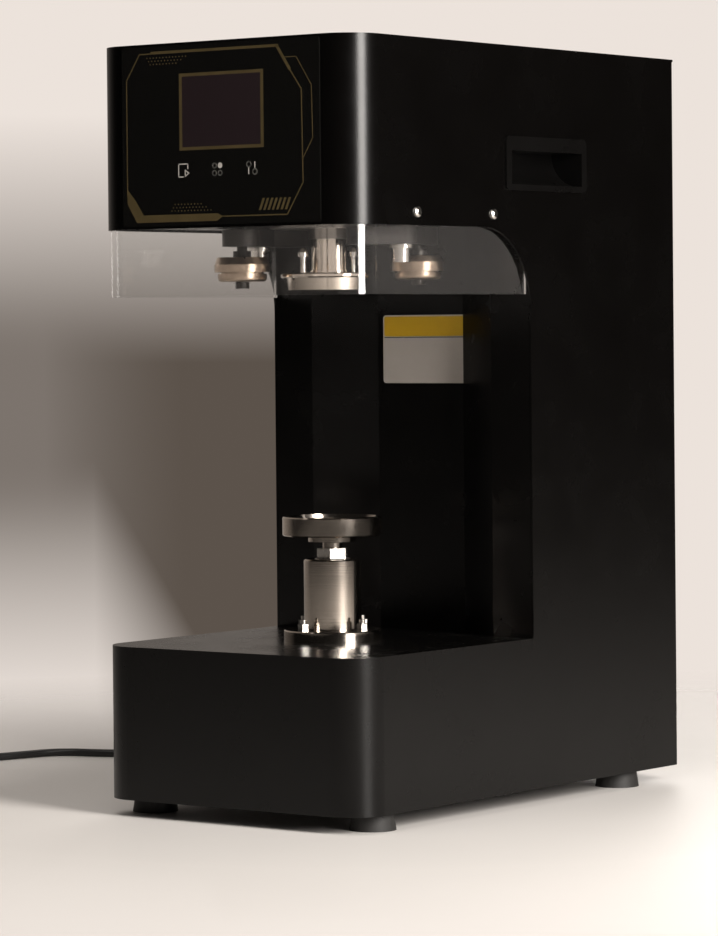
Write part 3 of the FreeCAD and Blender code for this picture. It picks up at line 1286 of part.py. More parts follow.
def power_cord():
    """The cord's tube: straight runs joined by the largest tangent arcs that fit."""
    spots = [FreeCAD.Vector(*spot) for spot in CORD_ROUTE]
    edges = []
    start = spots[0]
    radii = []
    for before, corner, after in zip(spots, spots[1:], spots[2:]):
        back = before - corner
        ahead = after - corner
        half_turn = (math.pi - back.getAngle(ahead)) / 2
        reach = 0.45 * min(back.Length, ahead.Length)
        radius = reach / math.tan(half_turn)
        radii.append(radius)
        back.normalize()
        ahead.normalize()
        enter = corner + back * reach
        leave = corner + ahead * reach
        inward = (back + ahead).normalize()
        middle = corner + inward * (radius / math.cos(half_turn) - radius)
        edges.append(Part.LineSegment(start, enter).toShape())
        edges.append(Part.Arc(enter, middle, leave).toShape())
        start = leave
    edges.append(Part.LineSegment(start, spots[-1]).toShape())
    path = Part.Wire(edges)
    heading = spots[1] - spots[0]
    size = number("cord_radius")
    section = Part.Wire(Part.makeCircle(size, spots[0], heading))
    tube = path.makePipeShell([section], True, False)
    print("cord radii", [round(radius) for radius in radii])
    print("cord length", round(path.Length), "volume", round(tube.Volume),
          "section times length", round(math.pi * size ** 2 * path.Length))
    drawn("power_cord", tube, y="0", z="0")


COIL = {"x": "coil_x", "y": "coil_y", "z": "0"}


def cord_coil():
    """The put-away length of the cord, as the outer form of its coil."""
    inner, outer = "(coil_radius - coil_half_width)", "(coil_radius + coil_half_width)"
    bend = "coil_round"
    turned("cord_coil", [
        (f"{inner} + {bend}", "0"), (f"{outer} - {bend}", "0", bend), (outer, bend),
        (outer, f"coil_height - {bend}", bend), (f"{outer} - {bend}", "coil_height"),
        (f"{inner} + {bend}", "coil_height", bend), (inner, f"coil_height - {bend}"),
        (inner, bend, bend)], **COIL)


def cord_tie():
    """The strap over the coil's turns."""
    body = new_body("cord_tie", turn="110", **COIL)
    grip = "(coil_half_width + tie_play)"
    wide = f"({grip} + tie_thickness)"
    roof = "(coil_height + tie_play)"
    sketch = outline(new_sketch(body, "XZ_Plane"), [
        (f"coil_radius - {wide}", "0"), (f"coil_radius - {grip}", "0"),
        (f"coil_radius - {grip}", roof), (f"coil_radius + {grip}", roof),
        (f"coil_radius + {grip}", "0"), (f"coil_radius + {wide}", "0"),
        (f"coil_radius + {wide}", f"{roof} + tie_thickness"),
        (f"coil_radius - {wide}", f"{roof} + tie_thickness")])
    strap = body.newObject("PartDesign::Revolution", "cord_tie_revolution")
    strap.Profile = sketch
    strap.ReferenceAxis = (sketch, ["V_Axis"])
    strap.setExpression("Angle", bound("tie_angle"))
    refresh(sketch, strap, body)


def mains_plug():
    """The plug beside the coil, lying with its blades to the left."""
    body = new_body("mains_plug", x="plug_x", y="plug_y", z="0")
    middle = "plug_height / 2"
    tail = new_sketch(body, "YZ_Plane", "-plug_tail - 2")
    circle(tail, "0", middle, "plug_tail_radius")
    pad(tail, "plug_tail + 2")
    case = new_sketch(body, "YZ_Plane", "-(plug_tail + plug_length)")
    rounded(case, "(-plug_half_width)", "0", "plug_half_width", "plug_height", "plug_corner")
    pad(case, "plug_length")
    pins = new_sketch(body, "YZ_Plane", "-(plug_tail + plug_length + pin_length)")
    for side in ("-", ""):
        rectangle(pins, f"{side}pin_spacing - pin_half_thickness", f"{middle} - pin_half_width",
                  f"{side}pin_spacing + pin_half_thickness", f"{middle} + pin_half_width")
    pad(pins, "pin_length + 1")


# ---- the whole machine ---------------------------------------------------------------------
for build in (cabinet_shell, top_plate, base_deck, bottom_plate, column_cover, rear_cover,
              rear_cover_screws, rubber_feet, foot_screws, head_plate, column_posts,
              deck_stiffener, head_underplate, bearing_block, turret_bearings, shaft_bridge,
              centre_shaft, seaming_chuck, chuck_screw, chuck_studs, turret, turret_pulley,
              arm_pivot_bolts, arm_cam, main_motor, motor_pulleys, lift_housing, housing_nuts,
              lift_plunger, lock_nut, tray_stem, can_tray, lift_cam, lift_follower,
              lift_gearmotor, gearmotor_saddle, splash_guard, guard_screws, handle_cup,
              control_panel, display_module, control_board, power_supply, power_switch_body,
              power_switch_rocker, cord_gland, power_cord, cord_coil, cord_tie, mains_plug):
    build()

swing_arm("first_arm", "", "first_pin_bottom", "first_disc_bottom")
swing_arm("second_arm", "-", "second_pin_bottom", "second_disc_bottom")
seam_roller("first_roller", "", "first", "first_band_top", "first_groove_top",
            "first_disc_bottom")
seam_roller("second_roller", "-", "second", "second_band_top", "second_groove_top",
            "second_disc_bottom")
cam_follower("first_follower", "")
cam_follower("second_follower", "-")
belt("turret_belt", "turret_pulley_radius", "turret_pulley_bottom")
belt("cam_belt", "cam_pulley_radius", "cam_pulley_bottom")

doc.recompute()
failed = [thing.Label for thing in doc.Objects
          if "Invalid" in thing.State or "Error" in thing.State]
failed += [node.Label for node in nodes if node.Shape.isNull() or not node.Shape.isValid()]
if failed:
    raise ValueError(f"these pieces failed: {failed}")

os.makedirs("parts", exist_ok=True)
for node in nodes:
    node.Shape.exportStep(f"parts/{node.Label}.step")
print(len(nodes), "parts written")
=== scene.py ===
"""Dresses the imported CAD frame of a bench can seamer: finishes, panel print, sticker and cord.

Lengths are in metres in the row frame: X to the machine's right, Y to its back, Z up.
"""
from __future__ import annotations

import json
import logging
import math
from collections.abc import Callable, Iterable, Sequence
from dataclasses import dataclass
from enum import Enum

import bmesh
import bpy
from mathutils import Matrix, Vector

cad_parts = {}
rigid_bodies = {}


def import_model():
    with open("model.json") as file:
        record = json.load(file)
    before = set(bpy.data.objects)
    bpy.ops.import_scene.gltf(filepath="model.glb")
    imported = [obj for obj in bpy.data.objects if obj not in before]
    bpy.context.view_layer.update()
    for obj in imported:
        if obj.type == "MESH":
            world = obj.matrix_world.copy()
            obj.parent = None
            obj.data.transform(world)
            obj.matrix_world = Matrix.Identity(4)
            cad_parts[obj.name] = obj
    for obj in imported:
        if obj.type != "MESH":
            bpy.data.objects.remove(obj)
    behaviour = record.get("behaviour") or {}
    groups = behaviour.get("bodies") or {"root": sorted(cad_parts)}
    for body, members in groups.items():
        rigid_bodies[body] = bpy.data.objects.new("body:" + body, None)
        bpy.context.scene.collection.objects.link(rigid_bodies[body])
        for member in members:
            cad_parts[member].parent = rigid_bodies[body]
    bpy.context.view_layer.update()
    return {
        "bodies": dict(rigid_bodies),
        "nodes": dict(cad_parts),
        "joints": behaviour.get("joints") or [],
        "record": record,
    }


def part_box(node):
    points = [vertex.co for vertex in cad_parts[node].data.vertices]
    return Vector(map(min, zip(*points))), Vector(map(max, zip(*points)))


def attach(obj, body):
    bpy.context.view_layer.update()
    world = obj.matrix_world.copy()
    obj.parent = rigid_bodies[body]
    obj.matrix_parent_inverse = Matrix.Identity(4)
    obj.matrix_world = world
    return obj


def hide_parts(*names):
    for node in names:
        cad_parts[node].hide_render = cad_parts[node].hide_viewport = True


LOG = logging.getLogger("scene")
MM = 0.001
Colour = tuple[float, float, float]
Point = tuple[float, float]
Tone = tuple[float, float, float, float]


# ---- node trees --------------------------------------------------------------------------
class Tree:
    """A shader or group node tree that is being built."""

    def __init__(self, tree: bpy.types.NodeTree) -> None:
        """Wraps an empty tree."""
        self.tree = tree

    def add(self, kind: str, inputs: dict[str | int, object] | None = None,
            **settings: object) -> bpy.types.Node:
        """Adds a node.

        Args:
            kind: The node's type, without the ShaderNode prefix.
            inputs: Values or sockets for its inputs, by name or index.
            **settings: Properties of the node itself.

        Returns:
            The new node.
        """
        prefix = "" if kind.startswith("Node") else "ShaderNode"
        node = self.tree.nodes.new(prefix + kind)
        for name, value in settings.items():
            setattr(node, name, value)
        for key, value in (inputs or {}).items():
            if isinstance(value, bpy.types.NodeSocket):
                self.tree.links.new(value, node.inputs[key])
            else:
                node.inputs[key].default_value = value
        return node

    def maths(self, operation: str, *values: object) -> bpy.types.NodeSocket:
        """Adds a Math node and returns its result."""
        return self.add("Math", dict(enumerate(values)), operation=operation).outputs[0]

    def remap(self, value: bpy.types.NodeSocket, low: float, high: float,
              to_low: float = 0.0, to_high: float = 1.0) -> bpy.types.NodeSocket:
        """Adds a clamped Map Range node from low..high and returns its result."""
        node = self.add("MapRange", {"Value": value, "From Min": low, "From Max": high,
                                     "To Min": to_low, "To Max": to_high})
        return node.outputs["Result"]

    def mix(self, factor: object, first: object, second: object) -> bpy.types.NodeSocket:
        """Adds a colour mix and returns its result."""
        return self.add("Mix", {0: factor, 6: first, 7: second}, data_type="RGBA").outputs[2]


def new_group(name: str, inputs: Sequence[tuple[str, str, object]],
              outputs: Sequence[tuple[str, str]]) -> tuple[Tree, bpy.types.Node, bpy.types.Node]:
    """Starts a shader group.

    Args:
        name: The group's name.
        inputs: Name, socket type and default of each input.
        outputs: Name and socket type of each output.

    Returns:
        The tree, its input node and its output node.
    """
    tree = bpy.data.node_groups.new(name, "ShaderNodeTree")
    for label, kind, default in inputs:
        socket = tree.interface.new_socket(label, in_out="INPUT", socket_type=kind)
        if default is not None:
            socket.default_value = default
    for label, kind in outputs:
        tree.interface.new_socket(label, in_out="OUTPUT", socket_type=kind)
    wrapped = Tree(tree)
    return wrapped, wrapped.add("NodeGroupInput"), wrapped.add("NodeGroupOutput")


def grain_group() -> bpy.types.NodeTree:
    """A fine pebbled surface, such as powder coat or moulded texture."""
    tree, given, result = new_group(
        "Fine grain", [("Vector", "NodeSocketVector", None), ("Size", "NodeSocketFloat", 0.001)],
        [("Height", "NodeSocketFloat"), ("Mask", "NodeSocketFloat")])
    scale = tree.maths("DIVIDE", 1.0, given.outputs["Size"])
    pebbles = tree.add("TexVoronoi", {"Vector": given.outputs["Vector"], "Scale": scale},
                       feature="SMOOTH_F1")
    soft = tree.add("TexNoise", {"Vector": given.outputs["Vector"], "Scale": scale,
                                 "Detail": 3.0, "Roughness": 0.6})
    height = tree.maths("ADD", tree.maths("MULTIPLY", pebbles.outputs["Distance"], 0.6),
                        soft.outputs[0])
    tree.tree.links.new(height, result.inputs["Height"])
    tree.tree.links.new(tree.remap(soft.outputs[0], 0.35, 0.65), result.inputs["Mask"])
    return tree.tree


def ring_group() -> bpy.types.NodeTree:
    """Fine tool marks round a turned piece, whose axis is at the vector's origin."""
    tree, given, result = new_group(
        "Turned rings", [("Vector", "NodeSocketVector", None), ("Pitch", "NodeSocketFloat", 4e-4)],
        [("Height", "NodeSocketFloat"), ("Mask", "NodeSocketFloat")])
    apart = tree.add("SeparateXYZ", {0: given.outputs["Vector"]}).outputs
    radius = tree.maths("SQRT", tree.maths("ADD", tree.maths("POWER", apart[0], 2.0),
                                           tree.maths("POWER", apart[1], 2.0)))
    along = tree.add("CombineXYZ", {0: radius, 1: apart[2]})
    scale = tree.maths("DIVIDE", 1.0, given.outputs["Pitch"])
    lines = tree.add("TexNoise", {"Vector": along.outputs[0], "Scale": scale, "Detail": 2.0},
                     noise_dimensions="2D")
    tree.tree.links.new(lines.outputs[0], result.inputs["Height"])
    tree.tree.links.new(tree.remap(lines.outputs[0], 0.3, 0.7), result.inputs["Mask"])
    return tree.tree


def wear_group() -> bpy.types.NodeTree:
    """Handling marks: cloudy smears, and dust that settles on faces that look up."""
    tree, given, result = new_group(
        "Handling", [("Vector", "NodeSocketVector", None), ("Size", "NodeSocketFloat", 0.05)],
        [("Smear", "NodeSocketFloat"), ("Dust", "NodeSocketFloat")])
    scale = tree.maths("DIVIDE", 1.0, given.outputs["Size"])
    clouds = tree.add("TexNoise", {"Vector": given.outputs["Vector"], "Scale": scale,
                                   "Detail": 5.0, "Roughness": 0.55, "Distortion": 0.4})
    specks = tree.add("TexNoise", {"Vector": given.outputs["Vector"], "Scale": 900.0,
                                   "Detail": 2.0})
    normal = tree.add("NewGeometry").outputs["Normal"]
    up = tree.remap(tree.add("SeparateXYZ", {0: normal}).outputs[2], 0.6, 1.0)
    dust = tree.maths("MULTIPLY", up, tree.remap(specks.outputs[0], 0.5, 0.75))
    tree.tree.links.new(tree.remap(clouds.outputs[0], 0.3, 0.7), result.inputs["Smear"])
    tree.tree.links.new(dust, result.inputs["Dust"])
    return tree.tree


def look(name: str) -> bpy.types.Material:
    """The material that was built for a finish."""
    return bpy.data.materials[f"look_{name}"]


# ---- finishes ----------------------------------------------------------------------------
class Relief(Enum):
    """The small relief of a finish."""

    GRAIN = "Fine grain"
    RINGS = "Turned rings"


@dataclass(frozen=True)
class Finish:
    """A solid finish with relief, uneven gloss and a little dust."""

    name: str
    colour: Colour
    roughness: float
    metallic: float = 0.0
    relief: Relief = Relief.GRAIN
    relief_size: float = 0.8 * MM
    bump: float = 0.2
    smear: float = 0.06
    dust: float = 0.02
    coat: float = 0.0
    tint: float = 0.15
    specular: float = 0.5
    centre: Point = (0.0, 0.0)

    def start(self) -> tuple[Tree, bpy.types.Node, bpy.types.NodeSocket]:
        """Makes the material's tree, its Principled node and its centred coordinates."""
        material = bpy.data.materials.new(f"look_{self.name}")
        material.use_nodes = True
        tree = Tree(material.node_tree)
        surface = material.node_tree.nodes["Principled BSDF"]
        place = tree.add("TexCoord").outputs["Object"]
        centred = tree.add("Mapping", {"Vector": place,
                                       "Location": (-self.centre[0], -self.centre[1], 0.0)})
        return tree, surface, centred.outputs[0]

    def build(self) -> bpy.types.Material:
        """Builds the material."""
        tree, surface, place = self.start()
        relief = tree.add("Group", node_tree=bpy.data.node_groups[self.relief.value])
        tree.tree.links.new(place, relief.inputs["Vector"])
        relief.inputs[1].default_value = self.relief_size
        wear = tree.add("Group", {}, node_tree=bpy.data.node_groups["Handling"])
        tree.tree.links.new(place, wear.inputs["Vector"])
        dark = tuple(channel * (1.0 - self.tint) for channel in self.colour) + (1.0,)
        base = tree.mix(relief.outputs["Mask"], dark, self.colour + (1.0,))
        dusty = tree.mix(tree.maths("MULTIPLY", wear.outputs["Dust"], self.dust), base,
                         (0.35, 0.33, 0.3, 1.0))
        gloss = tree.maths("MULTIPLY_ADD", wear.outputs["Smear"], self.smear, self.roughness)
        bump = tree.add("Bump", {"Height": relief.outputs["Height"], "Strength": self.bump,
                                 "Distance": self.relief_size * 0.25})
        for name, socket in (("Base Color", dusty), ("Roughness", gloss),
                             ("Normal", bump.outputs[0])):
            tree.tree.links.new(socket, surface.inputs[name])
        surface.inputs["Metallic"].default_value = self.metallic
        surface.inputs["Specular IOR Level"].default_value = self.specular
        surface.inputs["Coat Weight"].default_value = self.coat
        return look(self.name)


@dataclass(frozen=True)
class ClearSheet(Finish):
    """Clear acrylic whose sawn and polished edges gather light, shown as a painted highlight."""

    # The pale colour of the flat edges is a painted highlight.
    painted_edge: Colour = (0.62, 0.58, 0.54)

    def build(self) -> bpy.types.Material:
        """Builds the material: the flat edges are a pale painted highlight, frosted by more roughness,
        over the clear body.
        """
        tree, surface, place = self.start()
        wear = tree.add("Group", node_tree=bpy.data.node_groups["Handling"])
        tree.tree.links.new(place, wear.inputs["Vector"])
        normal = tree.add("TexCoord").outputs["Normal"]
        level = tree.maths("ABSOLUTE", tree.add("SeparateXYZ", {0: normal}).outputs[2])
        # Faces that look up or down, the sheet's flat edges, take the painted highlight colour and more
        # roughness.
        painted_edge = tree.remap(level, 0.8, 0.95)
        base = tree.mix(painted_edge, self.colour + (1.0,), self.painted_edge + (1.0,))
        tree.tree.links.new(base, surface.inputs["Base Color"])
        gloss = tree.maths("MULTIPLY_ADD", wear.outputs["Smear"], self.smear, self.roughness)
        rough = tree.maths("MULTIPLY_ADD", painted_edge, 0.25, gloss)
        tree.tree.links.new(rough, surface.inputs["Roughness"])
        surface.inputs["Transmission Weight"].default_value = 1.0
        surface.inputs["IOR"].default_value = 1.49
        return look(self.name)


@dataclass(frozen=True)
class Print(Finish):
    """Ink or a film under a clear gloss."""

    def build(self) -> bpy.types.Material:
        """Builds the material, with a faint unevenness of the ink."""
        tree, surface, place = self.start()
        ink = tree.add("TexNoise", {"Vector": place, "Scale": 1.0 / self.relief_size,
                                    "Detail": 3.0})
        dark = tuple(channel * (1.0 - self.tint) for channel in self.colour) + (1.0,)
        base = tree.mix(ink.outputs[0], dark, self.colour + (1.0,))
        tree.tree.links.new(base, surface.inputs["Base Color"])
        gloss = tree.maths("MULTIPLY_ADD", ink.outputs[0], self.smear, self.roughness)
        tree.tree.links.new(gloss, surface.inputs["Roughness"])
        surface.inputs["Metallic"].default_value = self.metallic
        surface.inputs["Coat Weight"].default_value = self.coat
        return look(self.name)


AXIS: Point = (0.0, -88.5 * MM)
FINISHES: tuple[Finish, ...] = (
    Finish("cabinet_paint", (0.0012, 0.0010, 0.0009), 0.23, relief_size=0.9 * MM, bump=0.16,
           smear=0.06, dust=0.015, specular=0.24),
    Finish("panel_gloss", (0.0048, 0.0046, 0.0042), 0.1, relief_size=3 * MM, bump=0.02,
           smear=0.06, coat=0.4),
    Print("screen", (0.022, 0.0145, 0.0165), 0.08, relief_size=40 * MM, tint=0.2, coat=0.6),
    Finish("circuit", (0.02, 0.13, 0.05), 0.4, relief_size=2 * MM),
    ClearSheet("clear_acrylic", (0.985, 0.985, 0.98), 0.02, smear=0.03),
    Finish("moulded_black", (0.002, 0.0018, 0.0017), 0.26, relief_size=0.5 * MM, bump=0.2,
           specular=0.35),
    Finish("rubber", (0.014, 0.013, 0.012), 0.62, relief_size=0.6 * MM, bump=0.35, dust=0.08),
    Finish("bright_screws", (0.62, 0.59, 0.55), 0.2, 1.0, relief_size=0.6 * MM, bump=0.08,
           smear=0.12, dust=0.0),
    Finish("nickel", (0.66, 0.59, 0.52), 0.08, 1.0, Relief.RINGS, 0.5 * MM, bump=0.08,
           smear=0.1, dust=0.02, tint=0.12, centre=AXIS),
    Finish("ground_steel", (0.42, 0.39, 0.36), 0.26, 1.0, Relief.RINGS, 0.4 * MM, bump=0.2,
           smear=0.12, centre=AXIS),
    Finish("roller_steel", (0.42, 0.33, 0.255), 0.24, 1.0, Relief.RINGS, 0.6 * MM, bump=0.15,
           smear=0.16, tint=0.3),
    Finish("blackened_steel", (0.03, 0.027, 0.025), 0.36, 0.6, relief_size=1.2 * MM, bump=0.2,
           smear=0.15),
    Finish("frame_steel", (0.05, 0.05, 0.052), 0.45, 0.2, relief_size=1.0 * MM),
    Finish("pulley_alloy", (0.6, 0.6, 0.61), 0.3, 1.0, Relief.RINGS, 0.5 * MM, centre=AXIS),
    Finish("motor_case", (0.02, 0.02, 0.022), 0.4, relief_size=0.8 * MM),
    Finish("supply_case", (0.55, 0.56, 0.57), 0.36, 1.0, relief_size=1.5 * MM),
    Finish("belt_rubber", (0.016, 0.016, 0.016), 0.6, relief_size=0.5 * MM),
    Finish("cord_black", (0.014, 0.013, 0.013), 0.42, relief_size=1.4 * MM, bump=0.15,
           dust=0.06),
    Print("gold_print", (0.15, 0.112, 0.05), 0.26, 0.35, relief_size=14 * MM, tint=0.45,
          coat=0.5),
    Print("key_print", (0.6, 0.57, 0.53), 0.3, relief_size=4 * MM, tint=0.25, coat=0.5),
    Print("sticker_white", (0.36, 0.33, 0.3), 0.34, relief_size=9 * MM, tint=0.06, coat=0.3),
    Print("sticker_yellow", (0.47, 0.285, 0.008), 0.34, relief_size=9 * MM, tint=0.08, coat=0.3),
    Print("sticker_rule", (0.02, 0.018, 0.016), 0.34, relief_size=6 * MM, coat=0.3),
    Finish("plug_metal", (0.6, 0.58, 0.54), 0.25, 1.0, relief_size=0.6 * MM, bump=0.1),
)


# ---- meshes ------------------------------------------------------------------------------
def finished(name: str, mesh: bmesh.types.BMesh, finishes: Sequence[str], body: str) -> bpy.types.Object:
    """Turns a bmesh into a piece that rides on a body.

    Args:
        name: The piece's name.
        mesh: The finished bmesh, in the row frame; it is freed.
        finishes: The finish of each material index.
        body: The CAD body that carries the piece.

    Returns:
        The new object.
    """
    data = bpy.data.meshes.new(name)
    mesh.to_mesh(data)
    mesh.free()
    for finish in finishes:
        data.materials.append(look(finish))
    piece = bpy.data.objects.new(name, data)
    bpy.context.scene.collection.objects.link(piece)
    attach(piece, body)
    return piece


def film(mesh: bmesh.types.BMesh, corners: Iterable[Point], depth: float, thickness: float,
         material: int = 0) -> list[bmesh.types.BMVert]:
    """Adds a thin upright plate that faces the front.

    Args:
        mesh: The bmesh to add to.
        corners: Its outline as X and Z, counterclockwise as seen from the front.
        depth: The Y of its back face.
        thickness: Its thickness towards the front.
        material: The material index of its faces.

    Returns:
        The plate's vertices.
    """
    back = [mesh.verts.new((x, depth, z)) for x, z in corners]
    face = mesh.faces.new(back)
    face.material_index = material
    made = bmesh.ops.extrude_face_region(mesh, geom=[face])["geom"]
    front = [item for item in made if isinstance(item, bmesh.types.BMVert)]
    bmesh.ops.translate(mesh, verts=front, vec=(0.0, -thickness, 0.0))
    faces = {f for v in back + front for f in v.link_faces}
    for side in faces:
        side.material_index = material
    bmesh.ops.recalc_face_normals(mesh, faces=list(faces))
    return back + front


def bar(start: Point, end: Point, width: float) -> list[Point]:
    """The outline of a straight line of that width, with square ends."""
    along = (Vector(end) - Vector(start)).normalized()
    side = Vector((-along.y, along.x)) * width / 2
    reach = along * width / 2
    first, last = Vector(start) - reach, Vector(end) + reach
    return [tuple(first - side), tuple(last - side), tuple(last + side), tuple(first + side)]


def round_rect(centre: Point, size: Point, radius: float, steps: int = 6) -> list[Point]:
    """The outline of a rounded rectangle, counterclockwise."""
    half = (size[0] / 2 - radius, size[1] / 2 - radius)
    corners: list[Point] = []
    for quarter, (across, up) in enumerate(((1, 1), (-1, 1), (-1, -1), (1, -1))):
        for step in range(steps + 1):
            angle = math.radians(90 * (quarter + step / steps))
            corners.append((centre[0] + across * half[0] + radius * math.cos(angle),
                            centre[1] + up * half[1] + radius * math.sin(angle)))
    return corners


# ---- the studio --------------------------------------------------------------------------
@dataclass
class ViewPoint:
    """The camera: a long lens, front and right of the machine, a little above its middle."""

    place: tuple[float, float, float] = (1.9962, -2.7051, 0.4029)
    turn: float = 36.93
    pitch: float = 0.873
    roll: float = -0.5135
    lens: float = 151.54
    shift: float = -0.0879

    def build(self) -> bpy.types.Object:
        """Makes the camera and sets it as the scene's."""
        data = bpy.data.cameras.new("view")
        data.lens, data.sensor_width, data.shift_y = self.lens, 36.0, self.shift
        data.clip_start, data.clip_end = 0.1, 60.0
        camera = bpy.data.objects.new("view", data)
        camera.matrix_world = (
            Matrix.Translation(self.place)
            @ Matrix.Rotation(math.radians(self.turn), 4, "Z")
            @ Matrix.Rotation(math.radians(90.0 - self.pitch), 4, "X")
            @ Matrix.Rotation(math.radians(self.roll), 4, "Z"))
        bpy.context.scene.collection.objects.link(camera)
        bpy.context.scene.camera = camera
        return camera


@dataclass(frozen=True)
class SoftBox:
    """A rectangular area light that looks at a point."""

    name: str
    place: tuple[float, float, float]
    size: Point
    power: float
    colour: Colour = (1.0, 0.955, 0.91)
    aim: tuple[float, float, float] = (0.0, 0.0, 0.32)

    def build(self) -> bpy.types.Object:
        """Makes the light."""
        data = bpy.data.lights.new(self.name, "AREA")
        data.shape, data.size, data.size_y = "RECTANGLE", *self.size
        data.energy, data.color = self.power, self.colour
        light = bpy.data.objects.new(self.name, data)
        light.location = self.place
        away = Vector(self.place) - Vector(self.aim)
        light.rotation_euler = away.to_track_quat("Z", "Y").to_euler()
        light.visible_camera = False
        bpy.context.scene.collection.objects.link(light)
        return light


@dataclass
class Studio:
    """The floor, the backdrop and the lights."""

    lights: tuple[SoftBox, ...] = (
        SoftBox("key", (2.0, -0.5, 0.95), (0.75, 1.2), 90.0),
        SoftBox("overhead", (0.2, -0.9, 2.4), (1.6, 1.2), 21.0),
        SoftBox("rim", (-0.9, 1.9, 1.0), (0.8, 1.4), 10.0),
    )
    pale: Tone = (0.84, 0.765, 0.71, 1.0)
    # The dark tone is the colour of a painted shadow: the machine's shadow on the backdrop.
    dark: Tone = (0.095, 0.075, 0.06, 1.0)
    room: Tone = (0.012, 0.011, 0.010, 1.0)
    back_wall: Tone = (0.30, 0.262, 0.232, 1.0)
    wall_heading: float = 45.0
    wall_spread: Point = (0.35, 0.95)
    # These shape the painted shadow band on the backdrop, by height and by heading.
    shadow_band_drop: float = 0.021
    shadow_band_fade: Point = (0.075, 0.012)
    shadow_side_headings: Point = (34.0, 37.5)
    shadow_near_levels: Point = (-0.02, -0.04)
    shadow_near_headings: Point = (40.8, 39.0)
    shadow_near_growth: float = 0.055
    shadow_cap_headings: Point = (41.5, 39.5)
    shadow_cap_shades: Point = (0.86, 1.05)
    shadow_cap_blend: float = 0.2
    floor_radius: float = 3.0
    floor_fade: Point = (0.45, 1.25)
    floor_tones: tuple[Tone, Tone] = ((0.72, 0.69, 0.66, 1.0), (0.76, 0.73, 0.70, 1.0))
    floor_roughness: float = 0.5

    def build(self) -> None:
        """Makes them all."""
        self.backdrop()
        self.floor()
        for light in self.lights:
            light.build()
        bpy.context.scene.view_settings.view_transform = "Standard"

    def backdrop(self) -> None:
        """Makes the world: a pale backdrop with a dark band of painted shadow where the machine's shadow
        falls on the wall, or a dim room.

        The camera and what is seen through clear pieces meet the backdrop. All other rays
        meet the room, which has a pale back wall.
        """
        world = bpy.data.worlds.new("studio")
        bpy.context.scene.world = world
        world.use_nodes = True
        tree = Tree(world.node_tree)
        ground = world.node_tree.nodes["Background"]
        apart = tree.add("SeparateXYZ", {0: tree.add("TexCoord").outputs["Generated"]}).outputs
        heading = tree.maths("ARCTAN2", tree.maths("MULTIPLY", apart[0], -1.0), apart[1])
        # Painted shadow: a dark band across the backdrop, left of the machine and wider near it, stands
        # in for the shadow the machine casts on the wall.
        left = self.by_heading(tree, heading, self.shadow_side_headings)
        near = tree.maths("MULTIPLY", tree.remap(apart[2], *self.shadow_near_levels),
                          self.by_heading(tree, heading, self.shadow_near_headings,
                                          (0.0, self.shadow_near_growth)))
        level = tree.maths("ABSOLUTE", tree.maths("ADD", apart[2], self.shadow_band_drop))
        middle = tree.remap(tree.maths("SUBTRACT", level, near), *self.shadow_band_fade)
        shade = tree.maths("MULTIPLY", middle, left)
        shadow_cap = self.by_heading(tree, heading, self.shadow_cap_headings, self.shadow_cap_shades)
        shadow_mask = tree.maths("SMOOTH_MIN", shade, shadow_cap, self.shadow_cap_blend)
        seen = tree.mix(shadow_mask, self.pale, self.dark)
        facing = tree.maths("SUBTRACT", heading, math.radians(self.wall_heading))
        wall = tree.remap(tree.maths("COSINE", facing), *self.wall_spread)
        room = tree.mix(wall, self.room, self.back_wall)
        rays = tree.add("LightPath").outputs
        path = tree.maths("MAXIMUM", rays["Is Camera Ray"], rays["Is Transmission Ray"])
        tree.tree.links.new(tree.mix(path, room, seen), ground.inputs["Color"])

    @staticmethod
    def by_heading(tree: Tree, heading: bpy.types.NodeSocket, ends: Point,
                   values: Point = (0.0, 1.0)) -> bpy.types.NodeSocket:
        """Adds a clamped ramp between two headings, which are in degrees."""
        return tree.remap(heading, math.radians(ends[0]), math.radians(ends[1]), *values)

    def floor(self) -> None:
        """A pale floor that melts into the backdrop away from the machine."""
        mesh = bmesh.new()
        bmesh.ops.create_circle(mesh, cap_ends=True, radius=self.floor_radius, segments=96)
        data = bpy.data.meshes.new("floor")
        mesh.to_mesh(data)
        mesh.free()
        plane = bpy.data.objects.new("floor", data)
        bpy.context.scene.collection.objects.link(plane)
        material = bpy.data.materials.new("floor")
        material.use_nodes = True
        tree = Tree(material.node_tree)
        surface = material.node_tree.nodes["Principled BSDF"]
        place = tree.add("TexCoord").outputs["Object"]
        pores = tree.add("TexNoise", {"Vector": place, "Scale": 3.0, "Detail": 4.0})
        shade = tree.mix(pores.outputs[0], *self.floor_tones)
        tree.tree.links.new(shade, surface.inputs["Base Color"])
        surface.inputs["Roughness"].default_value = self.floor_roughness
        reach = tree.add("VectorMath", {0: place}, operation="LENGTH").outputs["Value"]
        clear = tree.add("BsdfTransparent")
        fade = tree.remap(reach, *self.floor_fade)
        seen = tree.maths("MULTIPLY", fade, tree.add("LightPath").outputs["Is Camera Ray"])
        both = tree.add("MixShader", {0: seen, 1: surface.outputs[0], 2: clear.outputs[0]})
        tree.tree.links.new(both.outputs[0],
                            material.node_tree.nodes["Material Output"].inputs["Surface"])
        data.materials.append(material)


